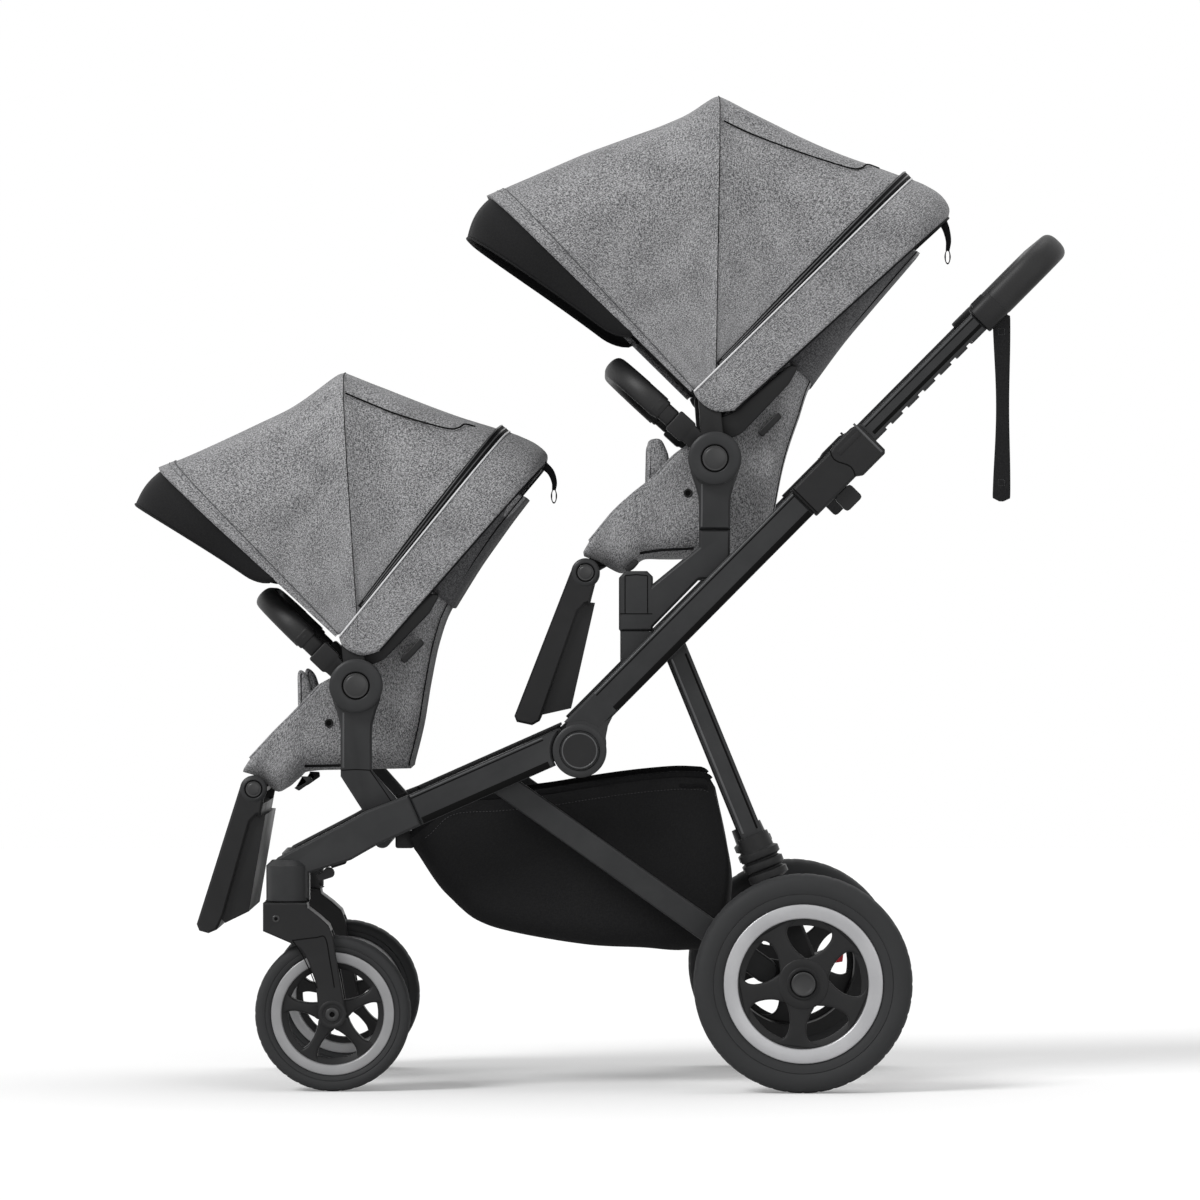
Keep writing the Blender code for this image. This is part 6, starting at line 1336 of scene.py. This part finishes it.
# Handle grip: a leatherette cover over the U of the handle tube, sewn along the inner curve, with a
# darker cuff at either end. The wrist strap is flat webbing, sewn to itself round the handle.
GRIP_START, GRIP_HALF = 0.8063, 0.235
normal = normal_of(UPPER_ANGLE)
path, station = u_path(HANDLE_AXIS, GRIP_START, length=0.1436, half=GRIP_HALF, corner=0.055)
side_way = unit(np.cross(np.gradient(path, axis=0), normal))
cuff_share = np.clip((station - GRIP_START) / 0.036, 0, 1)
grow = 0.955 + 0.045 * np.clip((cuff_share - 0.96) / 0.04, 0, 1)
section = oval(0.0157, 0.0208, 32, 0.78)[None] * grow[:, None, None]
grip = swept("grip_cover", path, section, normal, leatherette)
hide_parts("handle_grip")
placed(grip, "handle")
for side, sign in SIDES:
    banded(f"grip_cuff_{side}", HANDLE_AXIS, [GRIP_START, 0.8071, 0.8082, 0.8400, 0.8412, 0.8420],
           sign * GRIP_HALF, oval(0.0156, 0.0207, 32, 0.72), [0.93, 0.99, 1.0, 1.0, 0.985, 0.90], normal,
           "handle")
past_cuffs = station > 0.846
inner, inner_side = path[past_cuffs], side_way[past_cuffs]
inner_side *= np.sign((inner_side * (path.mean(0) - inner)).sum(1))[:, None]
seam_line = inner + inner_side * 0.0152
strip("grip_seam", seam_line, 0.0008, 0.0006, inner_side, gap_and_shade_black, "handle")
for i, shift in enumerate((-0.0030, 0.0030)):
    stitches(f"grip_stitches_{i}", seam_line + normal * shift - inner_side * 0.0004, inner_side, 0.0040,
             "handle")

STRAP_X, STRAP_FOOT, STRAP_LENGTH, STRAP_HALF = 0.5519, 0.8105, 0.2595, 0.0124
share = np.linspace(0, 1, 60)
x = STRAP_X + 0.0018 * np.sin(np.pi * share)
strap_path = np.stack([x, -GRIP_HALF + 0 * share, STRAP_FOOT + STRAP_LENGTH * share], -1)
wide = STRAP_HALF - 0.0032 * np.sin(np.pi * share) ** 2
wide = np.minimum(wide, STRAP_HALF * np.sqrt(np.clip(np.minimum(share, 1 - share) / 0.018, 0.05, 1)))
section = oval(1.0, 0.0016, 14, 0.5)[None] * np.stack([wide, np.ones(60)], -1)[:, None]
strap = swept("wrist_webbing", strap_path, section, (0, -1, 0), webbing)
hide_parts("wrist_strap")
placed(strap, "handle")
for i, middle in enumerate((0.10, 0.90)):
    box = disc_outline((STRAP_X, STRAP_FOOT + STRAP_LENGTH * middle), 0.006, 45, 405, 4)
    box = np.vstack([box, box[:1]])
    line = np.concatenate([np.linspace(a, b, 10, endpoint=False) for a, b in zip(box[:-1], box[1:])])
    stitches(f"wrist_stitches_{i}", at_depth(line, -0.2368), (0, -1, 0), 0.0024, "handle")

# Footrests: black moulded frames that swing at the front edge of each seat. The CAD solids are
# kept as they are, with their edges rounded.
finished(black_plastic, "black_plastic", 0.0010, "upper_footrest", "lower_footrest")

# Basket: a soft bag of black cloth with bound edges, hung between the front crossbar and the
# rear axle by loops with plastic clips; its rim sags between them.
BASKET_RIM = [(-0.262, 0.350), (-0.235, 0.372), (-0.203, 0.3987), (-0.140, 0.404), (-0.0795, 0.4096),
              (-0.020, 0.4190), (0.027, 0.426), (0.070, 0.431), (0.110, 0.434), (0.140, 0.433),
              (0.146, 0.432), (0.150, 0.430), (0.153, 0.427)]
BASKET_FLOOR = [(-0.258, 0.330), (-0.248, 0.314), (-0.229, 0.285), (-0.210, 0.263), (-0.171, 0.230),
                (-0.114, 0.212), (-0.018, 0.196), (0.059, 0.192), (0.116, 0.1885), (0.165, 0.200),
                (0.1835, 0.275), (0.176, 0.340), (0.160, 0.415)]
rim, floor = spline(BASKET_RIM, 100), spline(BASKET_FLOOR, 100)
rows = bucket_rows(rim, floor, half=0.168, wall=0.003, corner=0.034, count=160)
rows = folds(rows, [(0.30, 0.12, 0.20, 0.014, 0.10), (0.55, 0.17, 0.28, 0.012, -0.05),
                    (0.70, 0.10, 0.22, 0.012, 0.06), (0.45, 0.07, 0.25, 0.012, 0.02)], 0.0030)
rows[..., 1] = np.clip(rows[..., 1], -0.1695, 0.1695)
bag = surface("basket_bag", rows, black_cloth, wrap=True, caps="flat")
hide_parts("basket")
placed(bag, "front_frame")
for side, sign in SIDES:
    top = at_depth(rim - [0, 0.0005], sign * 0.1670)
    strip(f"basket_binding_{side}", top, 0.0022, 0.0042, (0, 0, 1), black_tape, "front_frame",
          0.6, 14)
    lower = at_depth(rim[6:90] - [0, 0.021], sign * 0.1684)
    stitches(f"basket_stitches_{side}", lower, (0, sign, 0), 0.0046, "front_frame")
    pull = spline([(0.110, 0.4185), (0.122, 0.4165), (0.136, 0.4185), (0.1475, 0.4155)], 20)
    strip(f"basket_pull_{side}", at_depth(pull, sign * 0.1690), 0.0022, 0.0009, (0, sign, 0), black_tape,
          "front_frame")
    plate(f"basket_clip_{side}", soft_corners([(-0.284, 0.3305), (-0.258, 0.3305), (-0.256, 0.3540),
                                               (-0.270, 0.3560), (-0.284, 0.3520)], 0.004),
          sign * 0.118, sign * 0.150, 0.002, black_plastic, "front_frame")
